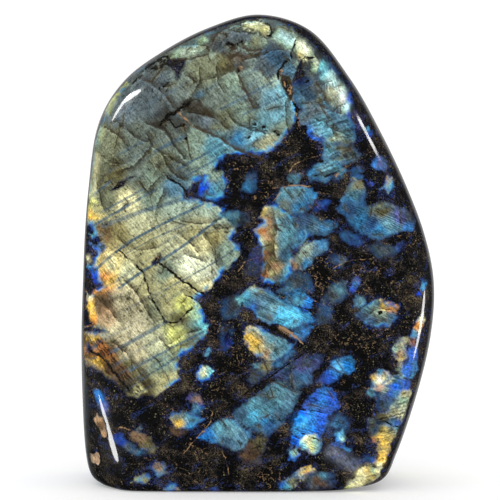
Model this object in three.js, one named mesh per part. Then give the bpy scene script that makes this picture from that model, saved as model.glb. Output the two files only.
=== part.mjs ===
// A polished labradorite freeform: one stone, shaped by hand, that stands on a sawn flat base.
//
// Millimetres, +Z up. The origin is the middle of the flat base, X runs across the broad face,
// and the broad polished face looks along -Y.
//
// The stone is one subdivided box, remade point by point. Its rim follows the outline of the
// broad face. From the rim a rounded shoulder runs forward to the front face and a softer one
// runs back to the back face. Both faces are crowned, and the stone thins towards its top.
import * as THREE from "three";
import { mergeVertices } from "three/addons/utils/BufferGeometryUtils.js";

// Driving dimensions.
const HEIGHT = 130;
const FRONT_DEPTH = 19; // from the middle plane to the front face's rim, at the base
const BACK_DEPTH = 18;
const TAPER = 0.36; // share of the depth that is gone at the top
const FRONT_CROWN = 2.2; // how far the middle of the front stands proud of its rim
const BACK_CROWN = 4;
const BACK_SWELL = 2.5; // the back is fullest low down, off to one side
const BACK_SWELL_AT = { x: -12, z: 40, reach: 36 };
const BACK_SOFTNESS = 1.6; // how much wider the back shoulder is than the front one
const SHOULDER_DEPTH = 1.25; // how deep a shoulder is for its width
const HEART = new THREE.Vector2(-3, 62); // the point the shoulders draw in towards
const HALF_SPAN = { x: 50, z: 68 }; // from the heart to where the crowns die out
// The front's lower left corner is ground away to the left of a leaning edge, softly rounded.
const CORNER = { x: -43.4, z: 26, lean: 0.27, slope: 0.95, soft: 2.6 };

// Mesh density: segments along each edge of the rim and through the depth.
const ACROSS = 24;
const UP = 30;
const ARC = 11; // segments in each shoulder
const SIDE = 2; // segments between the shoulders

// The rim, counterclockwise from the left end of the foot: x, z and the width of the front
// shoulder there. Each of the four runs has six points.
const RIM = [
  // foot, left to right
  [-46.8, 3.3, 3.5], [-43.8, 0.9, 2.6], [-38, 0, 1.8], [-14, 0, 1.8], [10, 0, 1.8], [25, 0.6, 2.2],
  // right side, going up
  [34.1, 2.9, 4.5], [37.8, 9.5, 7], [43, 24, 8.5], [47.3, 42, 8.5], [48, 57, 8], [45.5, 69.5, 8.5],
  // over the top, right to left
  [40.3, 83.5, 9.5], [33, 98.6, 10.5], [24.9, 112.6, 10.5], [13.6, 126, 9.5], [0, HEIGHT, 9.5], [-13.8, 126.5, 11],
  // left side, going down
  [-26.4, 120.2, 13], [-37.3, 112.1, 14], [-44.1, 100.9, 12], [-46.9, 82, 6.5], [-48.4, 57, 6], [-48.9, 27, 5.5],
];

const rimCurve = new THREE.CatmullRomCurve3(
  RIM.map(([x, z, shoulder]) => new THREE.Vector3(x, z, shoulder)),
  true,
  "centripetal",
);

/** The rim in the direction of (u, v), a point on the edge of the square from -1 to 1. */
function rimAt(u, v) {
  let share;
  if (v === -1) share = (u + 1) / 8;
  else if (u === 1) share = (v + 3) / 8;
  else if (v === 1) share = (5 - u) / 8;
  else share = (7 - v) / 8;
  const at = rimCurve.getPoint(share % 1);
  return { point: new THREE.Vector2(at.x, Math.max(0, at.y)), shoulder: at.z };
}

/** One quarter of an ellipse: how far in and what share of the depth at a step of the shoulder. */
function shoulderStep(width, depth, step) {
  const reach = Math.min(width * SHOULDER_DEPTH, depth - 1) / depth;
  const angle = (step / ARC) * (Math.PI / 2);
  return { inset: width * (1 - Math.cos(angle)), share: 1 - reach * (1 - Math.sin(angle)) };
}

/** The stone's section at a row counted from the back: how far in, and the share of the depth. */
function sectionAt(shoulder, row) {
  const back = (step) => shoulderStep(shoulder * BACK_SOFTNESS, BACK_DEPTH, step);
  const front = (step) => shoulderStep(shoulder, FRONT_DEPTH, step);
  if (row <= ARC) return back(ARC - row);
  if (row >= ARC + SIDE) {
    const { inset, share } = front(row - ARC - SIDE);
    return { inset, share: -share };
  }
  const along = (row - ARC) / SIDE;
  return { inset: 0, share: THREE.MathUtils.lerp(back(0).share, -front(0).share, along) };
}

/** How deep the stone is, forward or back of its middle plane, at a point of the broad face. */
function depthAt(x, z, forward) {
  const taper = 1 - TAPER * (z / HEIGHT) ** 1.7;
  const across = ((x - HEART.x) / HALF_SPAN.x) ** 2 + ((z - HEART.y) / HALF_SPAN.z) ** 2;
  if (forward) {
    const beyond = CORNER.x + (CORNER.z - z) * CORNER.lean - x;
    const ground = (CORNER.slope * (beyond + Math.hypot(beyond, CORNER.soft))) / 2;
    return FRONT_DEPTH * taper + FRONT_CROWN * (1 - across) - ground;
  }
  const off = Math.hypot(x - BACK_SWELL_AT.x, z - BACK_SWELL_AT.z) / BACK_SWELL_AT.reach;
  return BACK_DEPTH * taper + BACK_CROWN * (1 - across) + BACK_SWELL * Math.exp(-off * off);
}

/** The stone's surface point for (u, v, row) on the box. */
function surfaceAt(u, v, row) {
  const size = Math.max(Math.abs(u), Math.abs(v));
  const rim = rimAt(size ? u / size : 1, size ? v / size : 0);
  const { inset, share } = sectionAt(rim.shoulder, row);
  const inwards = HEART.clone().sub(rim.point).normalize();
  const edge = rim.point.clone().addScaledVector(inwards, inset);
  const spot = HEART.clone().lerp(edge, size);
  return new THREE.Vector3(spot.x, share * depthAt(spot.x, spot.y, share < 0), spot.y);
}

/** The whole stone as one closed geometry, with the origin at the middle of its underside. */
function stoneGeometry() {
  const rows = 2 * ARC + SIDE;
  const box = new THREE.BoxGeometry(2, 2, 2, ACROSS, UP, rows);
  box.deleteAttribute("normal");
  box.deleteAttribute("uv");
  const geometry = mergeVertices(box, 1e-4);
  const place = geometry.getAttribute("position");
  const snap = (value) => Math.round(value * 1e6) / 1e6;
  for (let i = 0; i < place.count; i += 1) {
    const row = Math.round(((1 - place.getZ(i)) / 2) * rows);
    const p = surfaceAt(snap(place.getX(i)), snap(place.getY(i)), row);
    place.setXYZ(i, p.x, p.y, p.z);
  }
  // The box looks along +Z and the stone along Y, so each triangle is turned round.
  const index = geometry.getIndex();
  for (let i = 0; i < index.count; i += 3) {
    const first = index.getX(i);
    index.setX(i, index.getX(i + 1));
    index.setX(i + 1, first);
  }
  geometry.computeBoundingBox();
  const middle = geometry.boundingBox.getCenter(new THREE.Vector3());
  geometry.translate(-middle.x, -middle.y, -geometry.boundingBox.min.z);
  geometry.computeVertexNormals();
  return geometry;
}

const polished = new THREE.MeshStandardMaterial({ color: 0x46545a, roughness: 0.15, metalness: 0 });

const stone = new THREE.Mesh(stoneGeometry(), polished);
stone.name = "stone";

const freeform = new THREE.Group();
freeform.add(stone);

export default freeform;
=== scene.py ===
"""A polished labradorite freeform that stands on its sawn foot.

The stone's plain solid comes from the frame. Here it gets its fine skin, with a hand-polished
waviness and rough hollows, and its pattern: crystals that flash gold, green and blue, set in a
dark matrix, each with its cleavage lines, seams and coloured fringe.
"""

import logging
import math
from dataclasses import dataclass, field
from enum import Enum
from functools import partial, reduce

import bpy
import numpy as np
from mathutils import Matrix, Vector


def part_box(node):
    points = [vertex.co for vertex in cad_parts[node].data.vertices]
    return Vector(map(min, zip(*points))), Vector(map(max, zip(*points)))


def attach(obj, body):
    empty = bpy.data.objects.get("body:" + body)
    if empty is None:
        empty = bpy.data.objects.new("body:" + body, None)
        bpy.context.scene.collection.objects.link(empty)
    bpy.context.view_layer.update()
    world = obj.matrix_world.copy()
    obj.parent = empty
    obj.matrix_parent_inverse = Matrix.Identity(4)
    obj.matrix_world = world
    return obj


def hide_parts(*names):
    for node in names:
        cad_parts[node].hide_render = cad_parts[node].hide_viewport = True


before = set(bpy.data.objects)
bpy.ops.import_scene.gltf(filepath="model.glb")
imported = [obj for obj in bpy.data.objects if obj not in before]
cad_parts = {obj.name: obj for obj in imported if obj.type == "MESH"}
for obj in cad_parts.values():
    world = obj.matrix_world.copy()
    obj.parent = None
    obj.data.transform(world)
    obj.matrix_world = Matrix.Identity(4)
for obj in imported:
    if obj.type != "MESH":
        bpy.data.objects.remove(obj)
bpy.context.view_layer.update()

MM = 0.001
LOG = logging.getLogger("freeform")

Array = np.ndarray
Node = bpy.types.Node
Socket = bpy.types.NodeSocket
Inputs = dict[str | int, object]
Spot = tuple[float, float]
Place = tuple[float, float, float]


# ---- Named options ----


class Tint(Enum):
    """The stone's colours, as a screen shows them, from 0 to 255."""

    SOOT = (7, 7, 8)
    COAL = (28, 25, 24)
    PEAT = (50, 42, 33)
    LOAM = (76, 68, 50)
    INDIGO = (34, 54, 108)
    SAND = (204, 164, 116)
    UMBER = (96, 72, 48)
    RUST = (150, 92, 48)
    TAN = (172, 138, 100)
    AMBER = (222, 146, 56)
    GOLD = (240, 196, 78)
    BRASS = (206, 182, 96)
    BUTTER = (232, 226, 168)
    PEARL = (236, 244, 208)
    SNOW = (250, 248, 250)
    CREAM = (190, 192, 150)
    STRAW = (172, 168, 118)
    BEIGE = (192, 184, 146)
    KHAKI = (142, 134, 86)
    OLIVE = (96, 92, 58)
    BOG = (54, 46, 24)
    MOSS = (112, 118, 92)
    LIME = (204, 208, 112)
    LEAF = (168, 204, 164)
    MIST = (164, 184, 162)
    SAGE = (124, 144, 126)
    LICHEN = (104, 116, 106)
    SLATE = (80, 92, 96)
    HAZE = (156, 166, 190)
    PEWTER = (96, 110, 116)
    SMOKE = (58, 62, 60)
    SEA = (84, 126, 148)
    TEAL = (90, 148, 164)
    LAGOON = (112, 164, 178)
    SKY = (84, 182, 218)
    AQUA = (128, 220, 226)
    ICE = (198, 240, 236)
    STEEL = (46, 126, 176)
    DUSK = (38, 76, 120)
    NIGHT = (8, 28, 78)
    RIVER = (56, 86, 108)
    GLINT = (0, 90, 208)
    AZURE = (28, 142, 240)
    ROYAL = (0, 96, 236)
    ELECTRIC = (0, 70, 222)
    COBALT = (6, 46, 148)
    VIOLET = (88, 86, 168)

    def linear(self) -> Array:
        """The colour as three linear shares of light."""
        share = np.array(self.value, float) / 255
        return np.where(share <= 0.04045, share / 12.92, ((share + 0.055) / 1.055) ** 2.4)


class Kind(Enum):
    """What a patch does to the pattern under it."""

    FLASH = "a crystal that lights up"
    WASH = "a tint inside what is lit already"
    GAP = "dark matrix that shows through"


class Seam(Enum):
    """What fills a crack: how golden it is, how strong the painted shade on one side of it is, and how dark
    it is.
    """

    BLACK = (0.0, 0.35, 1.0)
    OLIVE = (0.03, 0.85, 0.75)
    BROWN = (0.12, 0.8, 0.85)
    GOLDEN = (1.0, 0.0, 0.9)


# ---- What the pattern is made of ----


@dataclass(frozen=True)
class Hatch:
    """Fine cleavage lines: their angle in degrees, spacing in millimetres and depth of tone."""

    angle: float = -50.0
    spacing: float = 0.7
    strength: float = 0.25

    def run(self, spots: Array) -> Array:
        """How many lines lie between the origin and each spot."""
        turn = math.radians(self.angle)
        return (spots[:, 1] * math.cos(turn) - spots[:, 0] * math.sin(turn)) / self.spacing


@dataclass(frozen=True)
class Patch:
    """One area of the face with its own colours.

    Attributes:
        outline: its corners in millimetres, across and up the face.
        tints: colours at places in it, which run into each other.
        kind: whether it lights up, only tints what is lit, or leaves a dark gap.
        soft: how far its edge takes to fade, in millimetres.
        glow: how much of the full colour shows.
        fringe: how much of its edge turns blue.
        hatch: its cleavage lines.
    """

    outline: tuple[Spot, ...]
    tints: tuple[tuple[float, float, Tint], ...] = ()
    kind: Kind = Kind.FLASH
    soft: float = 0.6
    glow: float = 1.0
    fringe: float = 0.2
    hatch: Hatch = Hatch()


@dataclass(frozen=True)
class PaintedGlow:
    """A painted glow, emission that stands in for the flash's highlight where it peaks: its course, half
    its breadth in millimetres, colour and strength.
    """

    course: tuple[Spot, ...]
    breadth: float
    tint: Tint
    strength: float


@dataclass(frozen=True)
class Crack:
    """A seam in the skin: its course, its width in millimetres and what fills it."""

    course: tuple[Spot, ...]
    width: float
    seam: Seam


@dataclass(frozen=True)
class Ribbon:
    """A blue-grey twin line through the pale crystals: its course, width in millimetres and strength."""

    course: tuple[Spot, ...]
    width: float
    strength: float


def cracks(seam: Seam, width: float, *courses: tuple[Spot, ...]) -> tuple[Crack, ...]:
    """Cracks with one filling and one width."""
    return tuple(Crack(course, width, seam) for course in courses)


def specks(seam: Seam, width: float, step: Spot, *spots: Spot) -> tuple[Crack, ...]:
    """Short cracks that start at some spots and all take the same step."""
    return cracks(seam, width, *((spot, (spot[0] + step[0], spot[1] + step[1])) for spot in spots))


wash = partial(Patch, kind=Kind.WASH)
gap = partial(Patch, kind=Kind.GAP)


# ---- The pattern of this stone's broad face, in millimetres across and up ----

# the tints by their short names, in the order of their list
(
    SOOT, COAL, PEAT, LOAM, INDIGO, SAND, UMBER, RUST, TAN, AMBER, GOLD, BRASS, BUTTER, PEARL, SNOW, CREAM,
    STRAW, BEIGE, KHAKI, OLIVE, BOG, MOSS, LIME, LEAF, MIST, SAGE, LICHEN, SLATE, HAZE, PEWTER, SMOKE, SEA,
    TEAL, LAGOON, SKY, AQUA, ICE, STEEL, DUSK, NIGHT, RIVER, GLINT, AZURE, ROYAL, ELECTRIC, COBALT, VIOLET,
) = Tint
FINE = Hatch(-52, 0.62, 0.3)
FEATHER = Hatch(-48, 0.8, 0.16)
CROSSING = Hatch(-24, 0.6, 0.42)
BAND = Hatch(-34, 0.9, 0.3)
RUNGS = Hatch(18, 1.3, 0.4)
STEEP = Hatch(-16, 0.7, 0.42)
LADDER = Hatch(14, 0.9, 0.5)

PALE_FIELD = (
    Patch(((8, 98), (6, 94.7), (2, 92.5), (-3, 92), (-9, 92), (-10.5, 89.5), (-14, 87.2), (-18, 84.5),
        (-19.6, 81), (-17, 80), (-13, 78.6), (-9.5, 77.6), (-10, 76), (-7, 75), (-6, 72), (-8, 69),
        (-5, 67.5), (-5.5, 64), (-7.5, 61.5), (-9.5, 60), (-13, 55.5), (-15, 54), (-17, 52.5), (-15, 48.5),
        (-14, 45), (-15, 41), (-18, 39), (-22, 36.5), (-21.5, 33.5), (-22, 30), (-25, 28), (-28, 26.5),
        (-32, 25.8), (-35, 26.2), (-38, 29), (-42, 32.6), (-45.4, 34), (-54, 34.6), (-54, 112), (-42, 124),
        (-20, 136), (4, 136), (8, 127.5), (10.5, 124), (10, 121), (9, 118), (5.5, 115), (6.5, 112),
        (8, 108), (10.3, 106), (10.3, 101)), ((-37, 103, PEWTER), (-30, 105, SLATE), (-27, 111, SLATE),
        (-26, 103, SMOKE), (-21, 112, LICHEN), (-15, 115, MOSS), (-12, 108, LICHEN), (-6, 111, SAGE),
        (-2, 108, LICHEN), (-4, 103, SAGE), (3, 113, MIST), (4, 108, LAGOON), (5, 103, LAGOON),
        (0, 99, TEAL), (3, 95, CREAM), (-4, 96.5, SEA), (7, 99, SAGE), (-9, 102, MOSS), (-14, 101, PEWTER),
        (-21, 100, SMOKE), (-40, 96, MOSS), (-41, 90, MOSS), (-34, 92, LICHEN), (-33, 98, LICHEN),
        (-26, 90, MOSS), (-24, 96, LICHEN), (-17, 97, SAGE), (-12, 94, TEAL), (-17, 91, SAGE),
        (-22, 88, LICHEN), (-39, 87, OLIVE), (-33, 86, LICHEN), (-29, 86, SAGE), (-41, 80, MOSS),
        (-36, 79, BUTTER), (-29, 80, SAGE), (-23, 83, SEA), (-22, 77, MIST), (-15, 77, MIST),
        (-15, 73, CREAM), (-11, 76, MIST), (-33, 73, CREAM), (-38, 71, KHAKI), (-30, 68, STRAW),
        (-24, 70, CREAM), (-12, 69, KHAKI), (-17, 71, STRAW), (-16, 67.5, BUTTER), (-9, 66, SAGE),
        (-40, 61, BRASS), (-36, 60, CREAM), (-30, 62, STRAW), (-25, 60, SAGE), (-19, 62, PEARL),
        (-14, 60, PEARL), (-9, 63, SAGE), (-13, 57, BUTTER), (-23, 57, STRAW), (-19, 55, STRAW),
        (-43, 57, AMBER), (-42, 51, LOAM), (-38, 51, BEIGE), (-34, 52, BEIGE), (-30, 54, STRAW),
        (-28, 50, MOSS), (-33, 45, BEIGE), (-39, 44, BEIGE), (-25, 51, STRAW), (-20, 51, LIME),
        (-17, 49, LEAF), (-15, 45, AQUA), (-21, 47, OLIVE), (-22, 43, LIME), (-18, 42, MOSS),
        (-28, 41, CREAM), (-34, 38, BEIGE), (-26, 35, SAGE), (-25, 30, STRAW), (-36, 34, OLIVE),
        (-32, 28, BOG), (-41, 38, UMBER), (-18, 119, MOSS), (-10, 122, SLATE), (-3, 125, SAGE),
        (3, 123, SLATE), (-11, 116, MOSS), (4, 118, SLATE)), soft=0.5, fringe=1.0, hatch=FEATHER),
    Patch(((-13.5, 87.6), (-10, 87.6), (-8.5, 84.5), (-9.2, 80.5), (-11, 79.2), (-14, 79.6), (-16.3, 81.5),
        (-15.5, 84.5)), ((-12, 86.4, SAGE), (-11, 82.5, TEAL), (-15.6, 83, ELECTRIC), (-13, 81, STEEL)),
        fringe=1.0),
)

FIELD_WASHES = (
    wash(((-46, 72.8), (-42, 73.2), (-38, 72.5), (-36.5, 70), (-38.5, 67), (-41, 67.5), (-45, 69.5)),
        ((-44, 72, UMBER), (-41, 70, UMBER), (-38.5, 70, KHAKI)), soft=1.6, glow=0.8),
    wash(((-45.5, 60), (-43.5, 63.5), (-41, 66.3), (-38.5, 64), (-38.5, 58.5), (-39.5, 55.5), (-42, 55.8),
        (-44.3, 58)), ((-44.6, 60.6, BUTTER), (-43, 61, GOLD), (-42, 58.6, AMBER), (-40.4, 57, GOLD),
        (-42.4, 56, KHAKI), (-40, 62, BUTTER)), soft=1.2, glow=0.9, hatch=Hatch(-50, 0.8, 0.35)),
    wash(((-50, 55), (-45.8, 54.6), (-44.6, 51), (-43.8, 46), (-46, 45), (-50, 46)), ((-46, 53.6, PEARL),
        (-45.8, 51, GOLD), (-45, 49, GOLD), (-44.8, 46.8, AMBER)), soft=0.5, hatch=FINE),
    wash(((-43.6, 54.5), (-40, 54.5), (-38.5, 50), (-39, 45), (-43, 44.5), (-44.6, 49)),
        ((-42.5, 52.5, UMBER), (-40.5, 48, TAN)), soft=2.0, glow=0.6),
    wash(((-50, 43.5), (-45, 43.4), (-43, 42), (-38, 36.3), (-30.3, 27.2), (-33, 25.4), (-37, 27.3),
        (-42, 33.3), (-50, 38)), ((-44.6, 42, GOLD), (-43.3, 40.6, RUST), (-45.1, 38, AMBER),
        (-44.8, 35.4, GOLD), (-42.4, 38, RUST), (-39.3, 33.8, UMBER), (-37, 32, UMBER), (-35, 29.6, LOAM),
        (-32.8, 27.2, STRAW)), soft=0.6, hatch=Hatch(-50, 1.5, 0.7)),
    wash(((-35.5, 111.6), (-38.3, 108.3), (-41.2, 103.8), (-42.9, 98), (-44.4, 88), (-45.1, 77), (-50, 76),
        (-50, 96), (-46, 104), (-42, 110), (-37.5, 113.5)), ((-38.5, 109.3, LIME), (-41.5, 104.6, STRAW),
        (-43.7, 98, SAGE), (-45, 90, MOSS), (-46, 81, SAGE), (-46.2, 77, STRAW)), soft=0.6, glow=0.95),
    wash(((-47, 82), (-44.6, 80), (-43, 78.4), (-41.8, 75.4), (-45, 74), (-47.5, 75)), ((-44, 77, STRAW),
        (-45.8, 79, LIME), (-45.8, 75, GOLD)), soft=0.6, glow=0.9),
    wash(((-24.6, 118.5), (-22, 120.4), (-20, 121.3), (-17, 121.3), (-14.2, 120.8), (-14, 119.6),
        (-17, 118.8), (-21, 118)), ((-22.6, 119.2, LEAF), (-21, 119.6, MIST), (-18, 120.3, MIST),
        (-15, 120.2, SAGE)), soft=0.5, glow=0.9),
    wash(((-22, 121.4), (-18, 122.6), (-14.4, 124.4), (-13.4, 123.4), (-16, 122), (-19.6, 121.6)),
        ((-18, 122.4, LAGOON), (-15.4, 123.4, LEAF)), soft=0.6, glow=0.8),
    wash(((-30.5, 116), (-27, 119), (-24.4, 118.6), (-24, 115.4), (-26, 114.6), (-29.4, 114.8)),
        ((-29, 116.4, SMOKE), (-26, 117.4, LICHEN), (-25, 115.6, SMOKE)), soft=0.8, glow=0.8),
    wash(((-13.4, 120), (-12.2, 124), (-10, 126), (-8.4, 124.6), (-8.8, 121), (-10.6, 119.2)),
        ((-12, 121, SMOKE), (-11, 122.6, SMOKE), (-9.6, 124, PEWTER), (-10, 121, SLATE)), soft=1.2,
        glow=0.9),
    wash(((-8.8, 123.6), (-8, 126.2), (-5, 126.6), (-1, 125), (-1.6, 122.6), (-5, 122.4)),
        ((-7, 125, PEWTER), (-3.4, 124.6, PEWTER), (-5, 123.4, SLATE)), soft=1.4),
    wash(((-7.6, 126), (-5.4, 127.6), (-2, 128.4), (1, 128.3), (3.4, 126.9), (3.4, 125), (2, 123.8),
        (0, 125.4), (-4, 126.6)), ((-5.6, 126.8, SAGE), (-2.6, 127.7, PEARL), (0, 127.4, PEARL),
        (1.6, 126.6, BUTTER), (2.2, 124.6, CREAM)), soft=0.6, hatch=BAND),
    wash(((-2, 121.4), (-1.6, 124.6), (2, 124), (4, 122.6), (4, 121.2), (1, 120.4)), ((-0.4, 123, MOSS),
        (2, 122.6, SAGE), (3.4, 122, RIVER)), soft=1.2),
    wash(((-13.8, 118.4), (-13.8, 120.4), (-11, 120), (-8, 120.4), (-4, 119.4), (1, 120.4), (4, 121.4),
        (1, 118.6), (-4, 117.6), (-9, 118)), ((-12.6, 119.6, SAGE), (-11, 118.8, OLIVE), (-8, 119.2, LOAM),
        (-4, 118.6, UMBER), (0, 119.2, PEAT), (-13, 118.8, MIST)), soft=0.9, glow=0.85),
    wash(((-10.6, 117.6), (-8, 118.6), (-4, 118), (-2, 116.2), (-4, 115), (-9, 114.4), (-11.4, 115.4)),
        ((-9.4, 116.4, OLIVE), (-8, 115.2, BOG), (-4.6, 115.2, BOG), (-3, 116.8, BOG), (-6, 118, LOAM)),
        soft=1.0, glow=0.85),
    wash(((-22, 106), (-17, 107), (-14, 104.6), (-12.4, 102.4), (-16, 102.6), (-19, 103.6)),
        ((-17, 105, PEAT), (-14, 103.4, BOG)), soft=1.0, glow=0.9),
    wash(((-24, 103), (-20.6, 103), (-18, 100.6), (-12, 98.4), (-10, 99.4), (-14, 102.2), (-19, 103)),
        ((-22, 101, SMOKE), (-18, 102, SMOKE), (-14, 100.6, PEWTER), (-12, 99.6, MOSS)), soft=0.8,
        glow=0.85),
    wash(((-17.6, 108.6), (-15.4, 109.8), (-14.6, 107.8), (-17, 107)), ((-16, 108.4, SEA),), soft=0.8,
        glow=0.8),
    wash(((-8, 95), (-6, 98.4), (-1, 99.4), (2, 98.4), (-1, 95.4), (-4, 94)), ((-5.6, 96.4, STEEL),
        (-2.4, 97.4, LAGOON), (0.6, 98.2, LAGOON)), soft=1.2, glow=0.7),
)

FIELD_GAPS = (
    gap(((-40.2, 82.4), (-38, 85), (-33.4, 86.4), (-36.5, 83.8), (-39, 82.2)), fringe=0.0),
    gap(((-20.2, 79.5), (-19.6, 82.6), (-17.4, 82.8), (-15.8, 82), (-17.2, 80)), fringe=0.4),
    gap(((-28.9, 62.5), (-28.1, 64.5), (-26.7, 65.3), (-26.4, 63.6), (-27.6, 62.1)), fringe=0.0),
    gap(((-25, 118), (-22.5, 118.5), (-19.3, 118.4), (-20.6, 115), (-22, 112.6), (-23.7, 115.5)),
        fringe=0.0),
    gap(((-50, 73), (-45.8, 73.2), (-44.8, 70.4), (-42.4, 68.9), (-44.4, 67), (-44.4, 64.6), (-45, 61.4),
        (-44.4, 58.6), (-42.6, 56.4), (-44.6, 55), (-46.2, 53.4), (-47.2, 55), (-50, 56)), fringe=1.0),
    gap(((-50, 45.4), (-46, 45), (-43.4, 44.6), (-42, 43.6), (-44, 42.9), (-45.2, 43.6), (-50, 43.6)),
        fringe=0.4),
    gap(((-46.6, 40.4), (-45.2, 40), (-44.8, 37.6), (-46.6, 38)), fringe=0.3),
    gap(((-50, 56), (-46.9, 55), (-46.7, 52), (-46, 48.4), (-45.3, 45.6), (-50, 45)), fringe=0.0),
    Patch(((-46.3, 62.4), (-45.2, 62), (-44.7, 60), (-43.8, 58.2), (-43.2, 57), (-44, 56.7), (-45, 58),
        (-45.8, 60)), ((-45.8, 62, SKY), (-45.2, 60.6, GLINT), (-44.6, 58.8, ELECTRIC),
        (-43.8, 57.4, COBALT)), soft=0.4),
    Patch(((-45.6, 70.4), (-44.8, 70.4), (-44.4, 69.2), (-45.2, 69)), ((-45, 70.2, AQUA),
        (-44.8, 69, GLINT)), soft=0.4),
    Patch(((-45.6, 67.8), (-44.6, 67.6), (-44.4, 66.2), (-45.4, 66)), ((-45, 67.2, AZURE),
        (-45, 66, ELECTRIC)), soft=0.4),
    Patch(((-44, 67), (-42.6, 67.4), (-42.4, 66.2), (-43.6, 65.8)), ((-42.8, 66.6, DUSK),
        (-44, 65.8, GLINT)), soft=0.5),
    Patch(((-46.8, 64.4), (-45.8, 64.4), (-45.8, 63.4), (-46.6, 63.2)), ((-46.2, 64, BUTTER),), soft=0.4),
    gap(((-54, 34.6), (-45.4, 34), (-42, 32.6), (-38, 29), (-35, 26.2), (-32, 25.8), (-28, 26.5), (-26, 24),
        (-34, 22), (-54, 28)), soft=0.7, fringe=0.0),
)

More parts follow.
